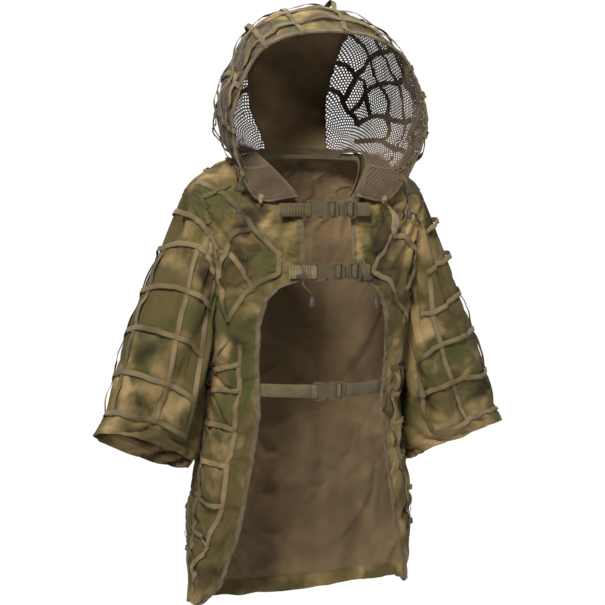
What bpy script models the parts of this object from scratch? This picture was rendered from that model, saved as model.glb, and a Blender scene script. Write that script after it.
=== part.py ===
"""Hooded ghillie cape, worn: open front, wide sleeves, net-sided hood, tape ladders, three buckled straps.

Units are metres. +Z is up, the wearer faces -Y, and the wearer's right side is -X.
The origin is the middle of the neck base, at shoulder height.
"""

import math

import bpy
import numpy as np
from mathutils import Vector

# Driving dimensions -------------------------------------------------------------------------
CLOTH = 0.0020  # thickness of the cloth and net panels
TAPE_WIDTH = 0.011  # foliage tape
TAPE_THICK = 0.0012
TAPE_LIFT = 0.0055  # outer side of the tapes above the cloth
GAP = 0.0004  # clearance between touching pieces
SEAM = 0.0012  # clearance between sewn panels
BINDING_WIDTH = 0.009  # binding on raw edges
WEB_WIDTH = 0.025  # strap webbing
WEB_THICK = 0.0016
BUCKLE_LENGTH = 0.064
BUCKLE_HEIGHT = 0.035
BUCKLE_THICK = 0.011
CORD_RADIUS = 0.0014
LOCK_RADIUS = 0.0055
LOCK_LENGTH = 0.013
PLUNGER_RADIUS = 0.0038
PLUNGER_TRAVEL = 0.0020
PLUNGER_TIP = 0.0035  # how far the plunger reaches past the cord
PLUNGER_OUT = 0.0045  # how far its head stands out of the barrel
BORE_END = 0.0008  # wall left at the closed end of the barrel
CORD_STRAIGHT = 0.011  # half of the straight run that the cord lock slides on

SWAY = -0.008  # the body hangs a little to the wearer's right
SIDE_Y = 0.040  # where the side and shoulder seams run
SHOULDER_LEVEL = 2.0  # body level of the shoulder tip
ARMPIT_LEVEL = 4.0
ARMHOLE_SPREAD = math.radians(31)

# Body levels, neck to hem: half width, front Y, back Y, and the heights at front, side and back
BODY_LEVELS = (
    (0.110, -0.100, 0.100, -0.038, 0.072, 0.075),
    (0.175, -0.108, 0.128, -0.055, 0.050, 0.040),
    (0.236, -0.112, 0.145, -0.100, 0.001, -0.035),
    (0.238, -0.114, 0.155, -0.170, -0.090, -0.120),
    (0.204, -0.113, 0.163, -0.290, -0.290, -0.290),
    (0.198, -0.114, 0.172, -0.420, -0.420, -0.420),
    (0.221, -0.122, 0.188, -0.600, -0.600, -0.602),
    (0.216, -0.130, 0.205, -0.798, -0.798, -0.818),
)
LAST_LEVEL = len(BODY_LEVELS) - 1

# Front edge of the open front: body level, and the half width (in X) where the edge runs
FRONT_EDGE = (
    (0.00, 0.055),
    (1.60, 0.047),
    (2.95, 0.047),
    (3.04, 0.064),
    (3.18, 0.091),
    (3.40, 0.113),
    (3.75, 0.125),
    (4.20, 0.126),
    (5.00, 0.121),
    (5.50, 0.133),
    (6.20, 0.155),
    (6.75, 0.187),
    (7.00, 0.215),
)

# Sleeve hem, right (-1) and left (1): centre, half width to the outer corner, half depth to the back
SLEEVE_CENTRE = {-1: (0.319, 0.050, -0.493), 1: (0.322, 0.050, -0.501)}
SLEEVE_OUT = {-1: (0.095, 0.000, 0.036), 1: (0.099, 0.000, 0.033)}
SLEEVE_BACK = (0.000, 0.084, -0.024)
SLEEVE_BULGE = {-1: 0.024, 1: 0.016}
LEFT_HEM_RISE = 0.022  # the wearer's left side hangs this much shorter

# Hood hoops, rim to nape, each from the neck seam to the crown
HOOD_HOOPS = (
    ((0.055, -0.103, -0.010), (0.138, -0.086, -0.008), (0.190, -0.128, 0.118),
     (0.157, -0.130, 0.232), (0.098, -0.130, 0.281), (0.0, -0.130, 0.296)),
    ((0.095, -0.056, 0.046), (0.157, -0.060, 0.047), (0.190, -0.065, 0.145),
     (0.152, -0.060, 0.262), (0.096, -0.055, 0.320), (0.0, -0.055, 0.341)),
    ((0.110, 0.002, 0.074), (0.154, 0.010, 0.074), (0.182, 0.010, 0.150),
     (0.140, 0.020, 0.264), (0.093, 0.030, 0.322), (0.0, 0.030, 0.347)),
    ((0.105, 0.032, 0.077), (0.138, 0.055, 0.083), (0.156, 0.070, 0.160),
     (0.130, 0.090, 0.232), (0.088, 0.105, 0.272), (0.0, 0.114, 0.290)),
    ((0.093, 0.056, 0.077), (0.112, 0.082, 0.088), (0.124, 0.100, 0.130),
     (0.105, 0.124, 0.165), (0.078, 0.140, 0.185), (0.0, 0.152, 0.197)),
    ((0.085, 0.066, 0.077), (0.079, 0.072, 0.077), (0.073, 0.077, 0.077),
     (0.067, 0.081, 0.077), (0.060, 0.086, 0.077), (0.0, 0.103, 0.078)),
)
HOOD_SEAM = 4.0  # hoop position of the seam between net and centre panel
HOOD_CROWN = 5.0
FACING_DEPTH = 0.72  # how far the doubled net reaches back from the rim, in hoops

# Straps: height, Y of the webbing's middle, X of the buckle's left end, X where each side is sewn
NECK_STRAP = {"z": -0.033, "y": -0.118, "buckle": -0.047, "sewn_right": -0.096, "sewn_left": 0.080}
CHEST_STRAP = {"z": -0.149, "y": -0.122, "buckle": -0.036, "sewn_right": -0.078, "sewn_left": 0.080}
WAIST_STRAP = {"z": -0.373, "y": -0.120, "buckle": -0.034, "sewn_right": -0.150, "sewn_left": 0.150}

# Adjusting cords: where the cord leaves the cloth, the cord lock, how far it hangs and drifts sideways below
# the lock, and which side the plunger points to
CORDS = {
    "neck_right": ((-0.167, -0.104, 0.028), (-0.174, -0.116, 0.006), 0.016, -0.002, -1),
    "neck_left": ((0.152, -0.100, 0.022), (0.158, -0.116, 0.000), 0.022, 0.002, 1),
    "chest_right": ((-0.060, -0.122, -0.126), (-0.062, -0.146, -0.156), 0.026, 0.018, -1),
    "chest_left": ((0.064, -0.122, -0.126), (0.062, -0.146, -0.160), 0.026, 0.020, 1),
}

SIDES = (("right", -1), ("left", 1))


# Scene helpers ------------------------------------------------------------------------------
def clear_scene():
    for obj in list(bpy.data.objects):
        bpy.data.objects.remove(obj, do_unlink=True)


def material(name, colour, roughness):
    mat = bpy.data.materials.get(name) or bpy.data.materials.new(name)
    mat.use_nodes = True
    shader = mat.node_tree.nodes["Principled BSDF"]
    shader.inputs["Base Color"].default_value = (*colour, 1.0)
    shader.inputs["Roughness"].default_value = roughness
    shader.inputs["Metallic"].default_value = 0.0
    return mat


CAMO = ("camouflage_cloth", (0.140, 0.105, 0.052), 0.92)
NET = ("brown_net", (0.150, 0.108, 0.062), 0.95)
TAPE = ("foliage_tape", (0.260, 0.205, 0.125), 0.90)
BINDING = ("edge_binding", (0.190, 0.150, 0.085), 0.90)
WEBBING = ("webbing", (0.150, 0.115, 0.068), 0.85)
PLASTIC = ("buckle_plastic", (0.120, 0.098, 0.066), 0.50)
CORD = ("elastic_cord", (0.130, 0.105, 0.070), 0.80)
RUBBER = ("cord_end", (0.130, 0.115, 0.095), 0.60)


def add_object(name, verts, faces, look):
    mesh = bpy.data.meshes.new(name)
    mesh.from_pydata([tuple(map(float, v)) for v in verts], [], faces)
    mesh.update()
    obj = bpy.data.objects.new(name, mesh)
    bpy.context.scene.collection.objects.link(obj)
    mesh.materials.append(material(*look))
    return obj


# Curves and surfaces ------------------------------------------------------------------------
def spline(keys, u):
    """Catmull-Rom curve through evenly counted keys, at position u (0 to len - 1)."""
    keys = np.asarray(keys, float)
    last = len(keys) - 1
    i = min(int(max(u, 0.0)), last - 1)
    f = u - i
    before = keys[i - 1] if i > 0 else 2 * keys[0] - keys[1]
    after = keys[i + 2] if i + 2 <= last else 2 * keys[last] - keys[last - 1]
    a, b = keys[i], keys[i + 1]
    slope_a, slope_b = (b - before) / 2, (after - a) / 2
    f2, f3 = f * f, f * f * f
    start = (2 * f3 - 3 * f2 + 1) * a + (f3 - 2 * f2 + f) * slope_a
    return start + (3 * f2 - 2 * f3) * b + (f3 - f2) * slope_b


def body_point(angle, level, side):
    """Point of the body: angle 0 at the front, 90 degrees at the side seam, 180 at the middle of the back."""
    width, front, back, z_front, z_side, z_back = spline(BODY_LEVELS, level)
    sine, cosine = math.sin(angle), math.cos(angle)
    reach = (SIDE_Y - front) if cosine > 0 else (back - SIDE_Y)
    ahead = cosine * cosine if cosine > 0 else 0.0
    behind = cosine * cosine if cosine < 0 else 0.0
    z = z_front * ahead + z_side * sine * sine + z_back * behind
    sway = SWAY * min(1.0, max(0.0, (level - ARMPIT_LEVEL) / 2.0))
    if side > 0:
        z += LEFT_HEM_RISE * sine * sine * max(0.0, (level - 5.0) / 2.0)
    return np.array([side * width * sine + sway, SIDE_Y - reach * cosine, z])


def front_edge_angle(level):
    """Angle of the open front's edge at a level."""
    levels, widths = zip(*FRONT_EDGE)
    half = np.interp(level, levels, widths)
    return math.asin(min(0.999, half / spline(BODY_LEVELS, level)[0]))


def armhole_cut(level):
    """How far the armhole reaches from the side seam, as an angle."""
    off = level - (SHOULDER_LEVEL + ARMPIT_LEVEL) / 2
    return ARMHOLE_SPREAD * math.sqrt(max(0.0, 1.0 - off * off))


def front_point(across, level, side, inset=0.0):
    """Front panel: across runs from the front edge, or inset metres behind it, (0) to the side seam (1)."""
    first = front_edge_angle(level) + inset / spline(BODY_LEVELS, level)[0]
    room = math.pi / 2 - first
    cut = armhole_cut(level)
    bend = min(3.0, 0.85 * room / max(cut, 0.01))  # a higher power would fold the panel over at the armhole
    return body_point(first + room * across - cut * max(across, 0.0) ** bend, level, side)


def back_point(across, level):
    """Back panel: across runs from the right side seam (-1) to the left one (1)."""
    side = 1 if across >= 0 else -1
    angle = math.pi * (1 - abs(across) / 2) + armhole_cut(level) * abs(across) ** 3
    return body_point(angle, level, side)


def sleeve_point(down, around, side):
    """Sleeve: down from armhole (0) to hem (1); around 0 on top, 90 degrees in front, 180 at the armpit."""
    level = (SHOULDER_LEVEL + ARMPIT_LEVEL) / 2 - math.cos(around)
    angle = math.pi / 2 - ARMHOLE_SPREAD * math.sin(around)
    top = body_point(angle, level, side)
    out = np.array(SLEEVE_OUT[side]) * math.cos(around)
    back = np.array(SLEEVE_BACK) * -math.sin(around)
    end = (np.array(SLEEVE_CENTRE[side]) + out + back) * (side, 1, 1)
    bulge = SLEEVE_BULGE[side] * math.sin(math.pi * down)
    outer = max(0.0, math.cos(around))
    push = np.array([side * outer * 0.9, -math.sin(around) * 0.6, 0.25 * outer])
    return top + (end - top) * down + push * bulge


def hood_point(back, up, side):
    """Hood: back from the rim (0) to the nape (5); up from the neck seam (0) to the crown (5)."""
    hoops = [spline([HOOD_HOOPS[h][k] for h in range(len(HOOD_HOOPS))], back) for k in range(6)]
    mirrored = hoops + [hoops[4] * (-1, 1, 1)]
    point = spline(mirrored, up)
    return point * (side, 1, 1)


def unit(vector):
    return vector / max(1e-12, float(np.linalg.norm(vector)))


def normal_of(surface, u, v, outward):
    """Surface normal by central differences, on the side that outward(point) points to."""
    step = 0.02
    du = surface(u + step, v) - surface(u - step, v)
    dv = surface(u, v + step) - surface(u, v - step)
    normal = unit(np.cross(du, dv))
    return normal if float(np.dot(normal, outward)) > 0 else -normal


def grid(surface, us, vs, outward, lift):
    """Points of a surface on a grid, lifted along its normal. outward(point) gives the outer side."""
    rows = []
    for v in vs:
        row = []
        for u in us:
            point = surface(u, v)
            row.append(point + normal_of(surface, u, v, outward(point)) * lift)
        rows.append(row)
    return rows


def slab(name, outer, inner, keep, look, closed=False):
    """Closed solid between two grids, on the cells that keep(row, column) accepts; closed joins the ends."""
    rows, cols = len(outer), len(outer[0])
    cells = [
        (r, c)
        for r in range(rows - 1)
        for c in range(cols if closed else cols - 1)
        if keep(r, c)
    ]
    verts, numbers = [], {}

    def number(layer, r, c):
        key = (layer, r, c % cols)
        if key not in numbers:
            numbers[key] = len(verts)
            verts.append((outer if layer == 0 else inner)[r][c % cols])
        return numbers[key]

    faces, edges = [], {}
    for r, c in cells:
        corners = [(r, c), (r, c + 1), (r + 1, c + 1), (r + 1, c)]
        faces.append([number(0, *k) for k in corners])
        faces.append([number(1, *k) for k in reversed(corners)])
        for a, b in zip(corners, corners[1:] + corners[:1]):
            a, b = (a[0], a[1] % cols), (b[0], b[1] % cols)
            if (b, a) in edges:
                del edges[(b, a)]
            else:
                edges[(a, b)] = True
    for a, b in edges:
        faces.append([number(0, *b), number(0, *a), number(1, *a), number(1, *b)])
    return add_object(name, verts, faces, look)


def face_outwards(obj):
    """Turn a closed mesh inside out if its volume is negative."""
    mesh = obj.data
    mesh.calc_loop_triangles()
    volume = 0.0
    for tri in mesh.loop_triangles:
        a, b, c = (mesh.vertices[i].co for i in tri.vertices)
        volume += a.dot(b.cross(c))
    if volume < 0:
        mesh.flip_normals()
    return obj


def panel(name, surface, us, vs, outward, look, keep=None, lift=0.0, thick=CLOTH, closed=False):
    outer = grid(surface, us, vs, outward, lift)
    inner = grid(surface, us, vs, outward, lift - thick)
    obj = slab(name, outer, inner, keep or (lambda r, c: True), look, closed)
    return face_outwards(obj)


def body_outward(point):
    """Outer side of the body: away from its axis, and upwards over the shoulders."""
    up = max(0.0, 0.10 + point[2])
    return np.array([point[0] - SWAY, point[1] - SIDE_Y, up * 4])


def hood_outward(point):
    return point - np.array([0.0, 0.0, 0.15])


def sleeve_outward(side):
    top = np.array([side * 0.215, 0.045, -0.13])
    end = np.array(SLEEVE_CENTRE[side]) * (side, 1, 1)
    axis = unit(end - top)

    def outward(point):
        along = point - top
        return along - axis * float(np.dot(along, axis))

    return outward


# Cloth panels -------------------------------------------------------------------------------
def spread(first, last, count):
    return list(np.linspace(first, last, count))


def seam_step(level):
    """The seam clearance as a share of a quarter turn at a level."""
    return SEAM / (spline(BODY_LEVELS, level)[0] * math.pi / 2)


BODY_TOP = 0.045  # level where the body panels start, just under the neck seam
HEM_LEVEL = LAST_LEVEL - 0.12  # where the turned hem starts


def back_panel():
    levels = [BODY_TOP, 0.5, 1.0, 1.5, 1.85, 2.1, 2.4, 3.0, 3.6, 3.9, 4.2, 4.8, 5.5, 6.2, HEM_LEVEL - 0.01]
    across = spread(-1.0, 1.0, 17)
    across[0] += seam_step(3.0)
    across[-1] -= seam_step(3.0)
    panel("back_panel", back_point, across, levels, body_outward, CAMO)
    panel("back_hem", back_point, across, [HEM_LEVEL, (HEM_LEVEL + LAST_LEVEL) / 2, float(LAST_LEVEL)],
          body_outward, CAMO, lift=0.0008, thick=CLOTH + 0.0016)


def front_levels():
    return [BODY_TOP, 0.45, 0.9, 1.35, 1.8, 2.1, 2.45, 2.8, 2.95, 3.04, 3.11, 3.18, 3.28, 3.40, 3.55, 3.75, 3.95,
            4.2, 4.6, 5.0, 5.5, 5.85, 6.2, 6.5, 6.75, 6.88, 7.0]


def front_panel(word, side):
    def cloth(across, level):
        return front_point(across, level, side, BINDING_WIDTH + SEAM)

    def bound_edge(share, level):
        angle = front_edge_angle(level) + share * BINDING_WIDTH / spline(BODY_LEVELS, level)[0]
        return body_point(angle, level, side)

    across = [0.0] + spread(0.17, 1.0, 6)
    across[-1] -= seam_step(3.0)
    panel(f"front_panel_{word}", cloth, across, front_levels(), body_outward, CAMO)
    panel(f"front_binding_{word}", bound_edge, [0.0, 1.0], front_levels(), body_outward, BINDING,
          lift=0.0006, thick=CLOTH + 0.0012)


SLEEVE_TOP = 0.015
SLEEVE_HEM = 0.945


def sleeve_surface(side):
    def surface(around, down):
        return sleeve_point(down, around, side)

    return surface


def sleeve(word, side):
    around = [2 * math.pi * k / 18 for k in range(18)]
    surface = sleeve_surface(side)
    outward = sleeve_outward(side)
    downs = [SLEEVE_TOP, 0.10, 0.22, 0.36, 0.50, 0.64, 0.78, SLEEVE_HEM - 0.002]
    panel(f"sleeve_{word}", surface, around, downs, outward, CAMO, closed=True)
    panel(f"sleeve_hem_{word}", surface, around, [SLEEVE_HEM, 1.0], outward, CAMO, lift=0.0008,
          thick=CLOTH + 0.0016, closed=True)


# Hood ---------------------------------------------------------------------------------------
HOOD_LAST = 5.0
HOOD_FOOT = 0.045  # the net stops this far above the neck seam tape


def hood_surface(side):
    def surface(up, back):
        return hood_point(back, up, side)

    return surface


def hood_center():
    def surface(across, back):
        side = 1 if across >= 0 else -1
        return hood_point(back, HOOD_CROWN - abs(across) * (HOOD_CROWN - HOOD_SEAM), side)

    across = spread(-0.985, 0.985, 7)
    backs = [0.10, 0.5, 1.0, 1.5, 2.0, 2.5, 3.0, 3.4, 3.8, 4.2, 4.6, HOOD_LAST - 0.03]
    panel("hood_center_panel", surface, across, backs, hood_outward, CAMO)


def hood_sides(word, side):
    surface = hood_surface(side)
    ups = [HOOD_FOOT, 0.5, 1.0, 1.5, 2.0, 2.5, 3.0, 3.5, HOOD_SEAM - 0.02]
    backs = [0.10, 0.5, 1.0, 1.5, 2.0, 2.5, 3.0, 3.5, 4.0, 4.5, HOOD_LAST - 0.10]
    panel(f"hood_net_{word}", surface, ups, backs, hood_outward, NET)
    ups = [0.16, 0.6, 1.1, 1.5, 2.0, 2.5, 3.0, 3.5, HOOD_SEAM - 0.03]
    panel(f"hood_facing_{word}", surface, ups, [0.12, 0.42, FACING_DEPTH], hood_outward, NET,
          lift=-CLOTH - 0.0030, thick=0.0014)


def rim_binding():
    def surface(up, back):
        side = 1 if up >= 0 else -1
        return hood_point(back, HOOD_CROWN - abs(up), side)

    reach = HOOD_CROWN - 0.06
    ups = spread(-reach, reach, 33)
    panel("hood_rim_binding", surface, ups, [0.0, 0.085], hood_outward, BINDING, lift=0.0008,
          thick=CLOTH + 0.0016)


def neck_seam_tape():
    """Tape sewn inside the neck seam, from front corner round the nape to front corner."""
    def surface(angle, up):
        side = 1 if angle >= 0 else -1
        return body_point(math.pi - abs(angle), 0.0, side) + np.array([0.0, 0.0, 0.009 * up])

    def outward(point):
        return np.array([point[0], point[1], 0.0])

    reach = math.radians(146)
    panel("neck_seam_tape", surface, spread(-reach, reach, 25), [-1.3, -0.3], outward, TAPE, lift=-0.0055,
          thick=0.0014)


# Foliage tapes ------------------------------------------------------------------------------
def lattice_lines(centres, half, step):
    """Grid lines for strips with the stretches between them cut into steps, and the cells that are strips."""
    lines, solid = [], []
    for number, centre in enumerate(centres):
        low, high = centre - half, centre + half
        if number:
            count = max(1, round((low - lines[-1]) / step))
            start = lines[-1]
            for k in range(1, count + 1):
                solid.append(False)
                lines.append(start + (low - start) * k / count)
        else:
            lines.append(low)
        solid.append(True)
        lines.append(high)
    return lines, solid


def tape_lattice(name, surface, columns, rows, outward, lift=TAPE_LIFT):
    """One net of tapes: columns and rows are (centres, half width, step) in the surface's own coordinates."""
    us, u_solid = lattice_lines(*columns)
    vs, v_solid = lattice_lines(*rows)

    def keep(r, c):
        return u_solid[c] or v_solid[r]

    panel(name, surface, us, vs, outward, TAPE, keep=keep, lift=lift, thick=TAPE_THICK)


def sleeve_tapes(word, side):
    half = TAPE_WIDTH / 2
    columns = ([math.radians(d) for d in (-20, 28, 78, 122)], half / 0.090, 0.28)
    rows = ([0.10, 0.27, 0.44, 0.61, 0.77, 0.905], half / 0.46, 0.10)
    tape_lattice(f"sleeve_tapes_{word}", sleeve_surface(side), columns, rows, sleeve_outward(side))


def front_tapes(word, side):
    """Ladder from the chest down the tail."""
    half = TAPE_WIDTH / 2

    def surface(across, level):
        return front_point(across, level, side)

    columns = ([0.27, 0.43, 0.59], half / 0.120, 0.16)
    rows = ([0.75, 1.45, 2.15, 2.80, 3.70, 4.30, 4.85, 5.38, 5.90, 6.40], half / 0.120, 0.26)
    tape_lattice(f"front_tapes_{word}", surface, columns, rows, body_outward)


def back_tapes():
    half = TAPE_WIDTH / 2
    columns = ([-0.80, -0.40, 0.0, 0.40, 0.80], half / 0.300, 0.13)
    rows = ([0.60, 1.40, 2.20, 3.00, 3.80, 4.45, 5.05, 5.65, 6.20, 6.62], half / 0.120, 0.38)
    tape_lattice("back_tapes", back_point, columns, rows, body_outward)


def hood_tapes():
    """Ladder over the hood: hoops from side to side, and runners from rim to nape."""
    def surface(up, back):
        side = 1 if up >= 0 else -1
        return hood_point(back, HOOD_CROWN - abs(up), side)

    half = TAPE_WIDTH / 2
    columns = ([-3.55, -2.35, -1.30, -0.42, 0.42, 1.30, 2.35, 3.55], half / 0.105, 0.60)
    rows = ([0.32, 1.05, 1.85, 2.65, 3.40, 4.10], half / 0.085, 0.60)
    tape_lattice("hood_tapes", surface, columns, rows, hood_outward, lift=TAPE_LIFT + 0.001)


# Solids for straps and hardware -------------------------------------------------------------
def extruded(name, outline, low, high, look, axis="Y"):
    """Solid of a closed outline, extruded along an axis. The outline is in XZ for axis Y, XY for axis Z."""
    def place(a, b, h):
        return (a, h, b) if axis == "Y" else (a, b, h)

    count = len(outline)
    verts = [place(a, b, low) for a, b in outline] + [place(a, b, high) for a, b in outline]
    faces = [list(range(count)), list(range(2 * count - 1, count - 1, -1))]
    for k in range(count):
        after = (k + 1) % count
        faces.append([k, count + k, count + after, after])
    obj = add_object(name, verts, faces, look)
    return face_outwards(obj)


def box(name, low, high, look):
    outline = [(low[0], low[2]), (high[0], low[2]), (high[0], high[2]), (low[0], high[2])]
    return extruded(name, outline, low[1], high[1], look)


def cut(target, cutters):
    """Cut solids out of a target. Each cutter stays in the scene as a hidden guide."""
    for cutter in cutters:
        cutter.hide_render = True
        cutter.display_type = "WIRE"
        cutter.hide_set(True)
        boolean = target.modifiers.new("cut", "BOOLEAN")
        boolean.operation = "DIFFERENCE"
        boolean.solver = "EXACT"
        boolean.object = cutter
    return target


def ribbon(name, path, z, width, thick, look):
    """Webbing on edge: a path in XY, of a width in Z."""
    points = [Vector((x, y)) for x, y in path]
    outer, inner = [], []
    for k, point in enumerate(points):
        before = points[max(0, k - 1)]
        after = points[min(len(points) - 1, k + 1)]
        along = (after - before).normalized()
        across = Vector((-along.y, along.x)) * (thick / 2)
        outer.append(point + across)
        inner.append(point - across)
    outline = [tuple(p) for p in outer] + [tuple(p) for p in reversed(inner)]
    return extruded(name, outline, z - width / 2, z + width / 2, look, axis="Z")


def rod(name, start, end, radius, look, sides=10):
    """Cylinder between two points."""
    start, end = Vector(start), Vector(end)
    axis = (end - start).normalized()
    across = axis.orthogonal().normalized()
    up = axis.cross(across)
    ring = [across * math.cos(2 * math.pi * k / sides) + up * math.sin(2 * math.pi * k / sides)
            for k in range(sides)]
    verts = [start + r * radius for r in ring] + [end + r * radius for r in ring]
    faces = [list(range(sides - 1, -1, -1)), list(range(sides, 2 * sides))]
    for k in range(sides):
        after = (k + 1) % sides
        faces.append([k, after, sides + after, sides + k])
    obj = add_object(name, verts, faces, look)
    obj.data.shade_smooth()
    return face_outwards(obj)


# Buckles ------------------------------------------------------------------------------------
FEMALE_LENGTH = 0.041
POCKET_HALF = 0.0125  # half height of the pocket for the clip
POCKET_DEPTH = 0.0032  # half thickness of the pocket
BAR = 0.0045  # width of a webbing bar
SLOT = 0.0042
SLOT_HALF = 0.0135  # half height of a webbing slot
THROUGH = 0.02  # cutters reach this far past what they cut


def buckle(word, strap):
    x0, y, z = strap["buckle"], strap["y"], strap["z"]
    half, thick = BUCKLE_HEIGHT / 2, BUCKLE_THICK / 2
    mouth = x0 + FEMALE_LENGTH
    notch = x0 + 0.027
    outline = [
        (x0, z - half + 0.004), (x0 + 0.004, z - half), (x0 + 0.014, z - half), (notch - 0.006, z - half + 0.001),
        (notch, z - half + 0.006), (notch + 0.006, z - half + 0.001), (mouth - 0.002, z - half),
        (mouth, z - half + 0.002), (mouth, z + half - 0.002), (mouth - 0.002, z + half),
        (notch + 0.006, z + half - 0.001), (notch, z + half - 0.006), (notch - 0.006, z + half - 0.001),
        (x0 + 0.014, z + half), (x0 + 0.004, z + half), (x0, z + half - 0.004),
    ]
    female = extruded(f"{word}_buckle_female", outline, y - thick, y + thick, PLASTIC)
    pocket = box(f"{word}_pocket_cutter", (x0 + 0.0125, y - POCKET_DEPTH, z - POCKET_HALF),
                 (mouth + 0.005, y + POCKET_DEPTH, z + POCKET_HALF), PLASTIC)
    slot = box(f"{word}_slot_cutter", (x0 + BAR, y - THROUGH, z - SLOT_HALF),
               (x0 + BAR + SLOT, y + THROUGH, z + SLOT_HALF), PLASTIC)
    window_top = box(f"{word}_window_top_cutter", (notch - 0.006, y - POCKET_DEPTH, z + 0.005),
                     (notch + 0.006, y + POCKET_DEPTH, z + 0.03), PLASTIC)
    window_low = box(f"{word}_window_low_cutter", (notch - 0.006, y - POCKET_DEPTH, z - 0.03),
                     (notch + 0.006, y + POCKET_DEPTH, z - 0.005), PLASTIC)
    cut(female, [pocket, slot, window_top, window_low])

    frame0 = mouth + GAP
    frame1 = x0 + BUCKLE_LENGTH
    clip_half = half - 0.001
    tongue = 0.0050
    inner = x0 + 0.016
    outline = [
        (frame0, z - clip_half + 0.001), (frame0 + 0.001, z - clip_half), (frame1 - 0.003, z - clip_half),
        (frame1, z - clip_half + 0.003), (frame1, z + clip_half - 0.003), (frame1 - 0.003, z + clip_half),
        (frame0 + 0.001, z + clip_half), (frame0, z + clip_half - 0.001), (frame0, z + tongue),
        (inner, z + tongue - 0.001), (inner, z - tongue + 0.001), (frame0, z - tongue),
    ]
    clip = extruded(f"{word}_buckle_clip", outline, y - 0.0028, y + 0.0028, PLASTIC)
    slots = []
    for number, offset in enumerate((0.0045, 0.0045 + SLOT + 0.0035)):
        slots.append(box(f"{word}_ladder_cutter_{number}", (frame0 + offset, y - THROUGH, z - SLOT_HALF + GAP),
                         (frame0 + offset + SLOT, y + THROUGH, z + SLOT_HALF - GAP), PLASTIC))
    cut(clip, slots)

    for part, way in (("upper", 1), ("lower", -1)):
        root = frame0 - 0.0008
        arm = [
            (root, way * 0.0080), (notch + 0.005, way * 0.0080), (notch - 0.005, way * 0.0074),
            (notch - 0.005, way * 0.0130), (notch - 0.001, way * 0.0148), (notch + 0.0045, way * 0.0148),
            (notch + 0.0047, way * 0.0116), (root, way * 0.0116),
        ]
        outline = [(x, z + h) for x, h in arm]
        extruded(f"{word}_buckle_prong_{part}", outline, y - 0.0024, y + 0.0024, PLASTIC)


def tri_glide(word, strap, x0):
    """Strap keeper: a flat frame with two slots and a bar between them."""
    y, z = strap["y"], strap["z"]
    length, half = 0.0225, BUCKLE_HEIGHT / 2 - 0.001
    outline = [
        (x0 + 0.002, z - half), (x0 + length - 0.002, z - half), (x0 + length, z - half + 0.002),
        (x0 + length, z + half - 0.002), (x0 + length - 0.002, z + half), (x0 + 0.002, z + half),
        (x0, z + half - 0.002), (x0, z - half + 0.002),
    ]
    frame = extruded(f"{word}_tri_glide", outline, y - 0.0020, y + 0.0020, PLASTIC)
    slots = []
    for number, offset in enumerate((0.0035, 0.0130)):
        slots.append(box(f"{word}_glide_cutter_{number}", (x0 + offset, y - THROUGH, z - SLOT_HALF),
                         (x0 + offset + 0.0060, y + THROUGH, z + SLOT_HALF), PLASTIC))
    cut(frame, slots)


def cloth_y(x, z):
    """Y of the body's outer surface at an X and Z on the front."""
    side = 1 if x >= 0 else -1
    low, high = 0.0, 6.0
    for _ in range(40):
        level = (low + high) / 2
        sway = SWAY * min(1.0, max(0.0, (level - ARMPIT_LEVEL) / 2.0))
        angle = math.asin(min(0.99, abs(x - sway) / spline(BODY_LEVELS, level)[0]))
        point = body_point(angle, level, side)
        if point[2] > z:
            low = level
        else:
            high = level
    return float(point[1])


def sewn_outside(xs, z, free_y):
    """Webbing sewn on the face of the cloth, running level at free_y once it passes the cloth's edge."""
    path = []
    for x in xs:
        over_cloth = abs(x) > FRONT_EDGE[1][1] + 0.002
        path.append((x, min(cloth_y(x, z) - 0.0050, free_y) if over_cloth else free_y))
    return path


def sewn_inside(sewn, last, z, free_y):
    """Webbing sewn behind the cloth, leaving under its edge and curving out to free_y at the buckle."""
    way = 1 if sewn > 0 else -1
    edge = way * 0.116
    path = [(x, cloth_y(x, z) + 0.0105) for x in spread(sewn, edge, 3)]
    leaving = path[-1][1]
    for share in (0.75, 0.5, 0.25, 0.0):
        path.append((last + (edge - last) * share, free_y + (leaving - free_y) * share ** 1.5))
    return path


def strap_pair(word, strap, glide_x, names):
    """The two sewn webbing pieces of one strap, their buckle, and the tri-glide if there is one."""
    y, z, x0 = strap["y"], strap["z"], strap["buckle"]
    buckle(word, strap)
    behind = y + BUCKLE_THICK / 2 + 0.0020
    before = y - BUCKLE_THICK / 2 - 0.0020
    through = x0 + BAR + SLOT / 2
    if glide_x is None:
        loop = sewn_inside(strap["sewn_right"], x0 - 0.004, z, behind)
    else:
        loop = sewn_outside(spread(strap["sewn_right"], x0 - 0.002, 5), z, behind)
    loop += [(through - 0.0012, behind), (through, behind - 0.0012), (through, before + 0.0012),
             (through - 0.0012, before), (x0 - 0.004, before)]
    ribbon(names[0], loop, z, WEB_WIDTH, WEB_THICK, WEBBING)

    frame0 = x0 + FEMALE_LENGTH + GAP
    frame1 = x0 + BUCKLE_LENGTH
    start = frame0 + 0.0045 + 0.0021
    front = y - 0.0028 - 0.0014
    back = y + 0.0028 + 0.0014
    path = [(start - 0.0001, back), (start, y), (start + 0.0012, front), (start + 0.0060, front),
            (start + 0.0077, y), (start + 0.0090, back)]
    if glide_x is not None:
        low = glide_x + 0.0035 + 0.0060
        high = glide_x + 0.0130
        path += [(frame1 + 0.001, back), (low - 0.0045, back), (low - 0.0022, y), (low - 0.0008, y - 0.0034),
                 (high + 0.0008, y - 0.0034), (high + 0.0022, y), (high + 0.0045, back)]
        tri_glide(word, strap, glide_x)
        sewn = sewn_outside(spread(strap["sewn_left"], glide_x + 0.0240, 3), z, back)
    else:
        sewn = sewn_inside(strap["sewn_left"], frame1 + 0.006, z, back)
    path += reversed(sewn)
    ribbon(names[1], path, z, WEB_WIDTH, WEB_THICK, WEBBING)


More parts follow.
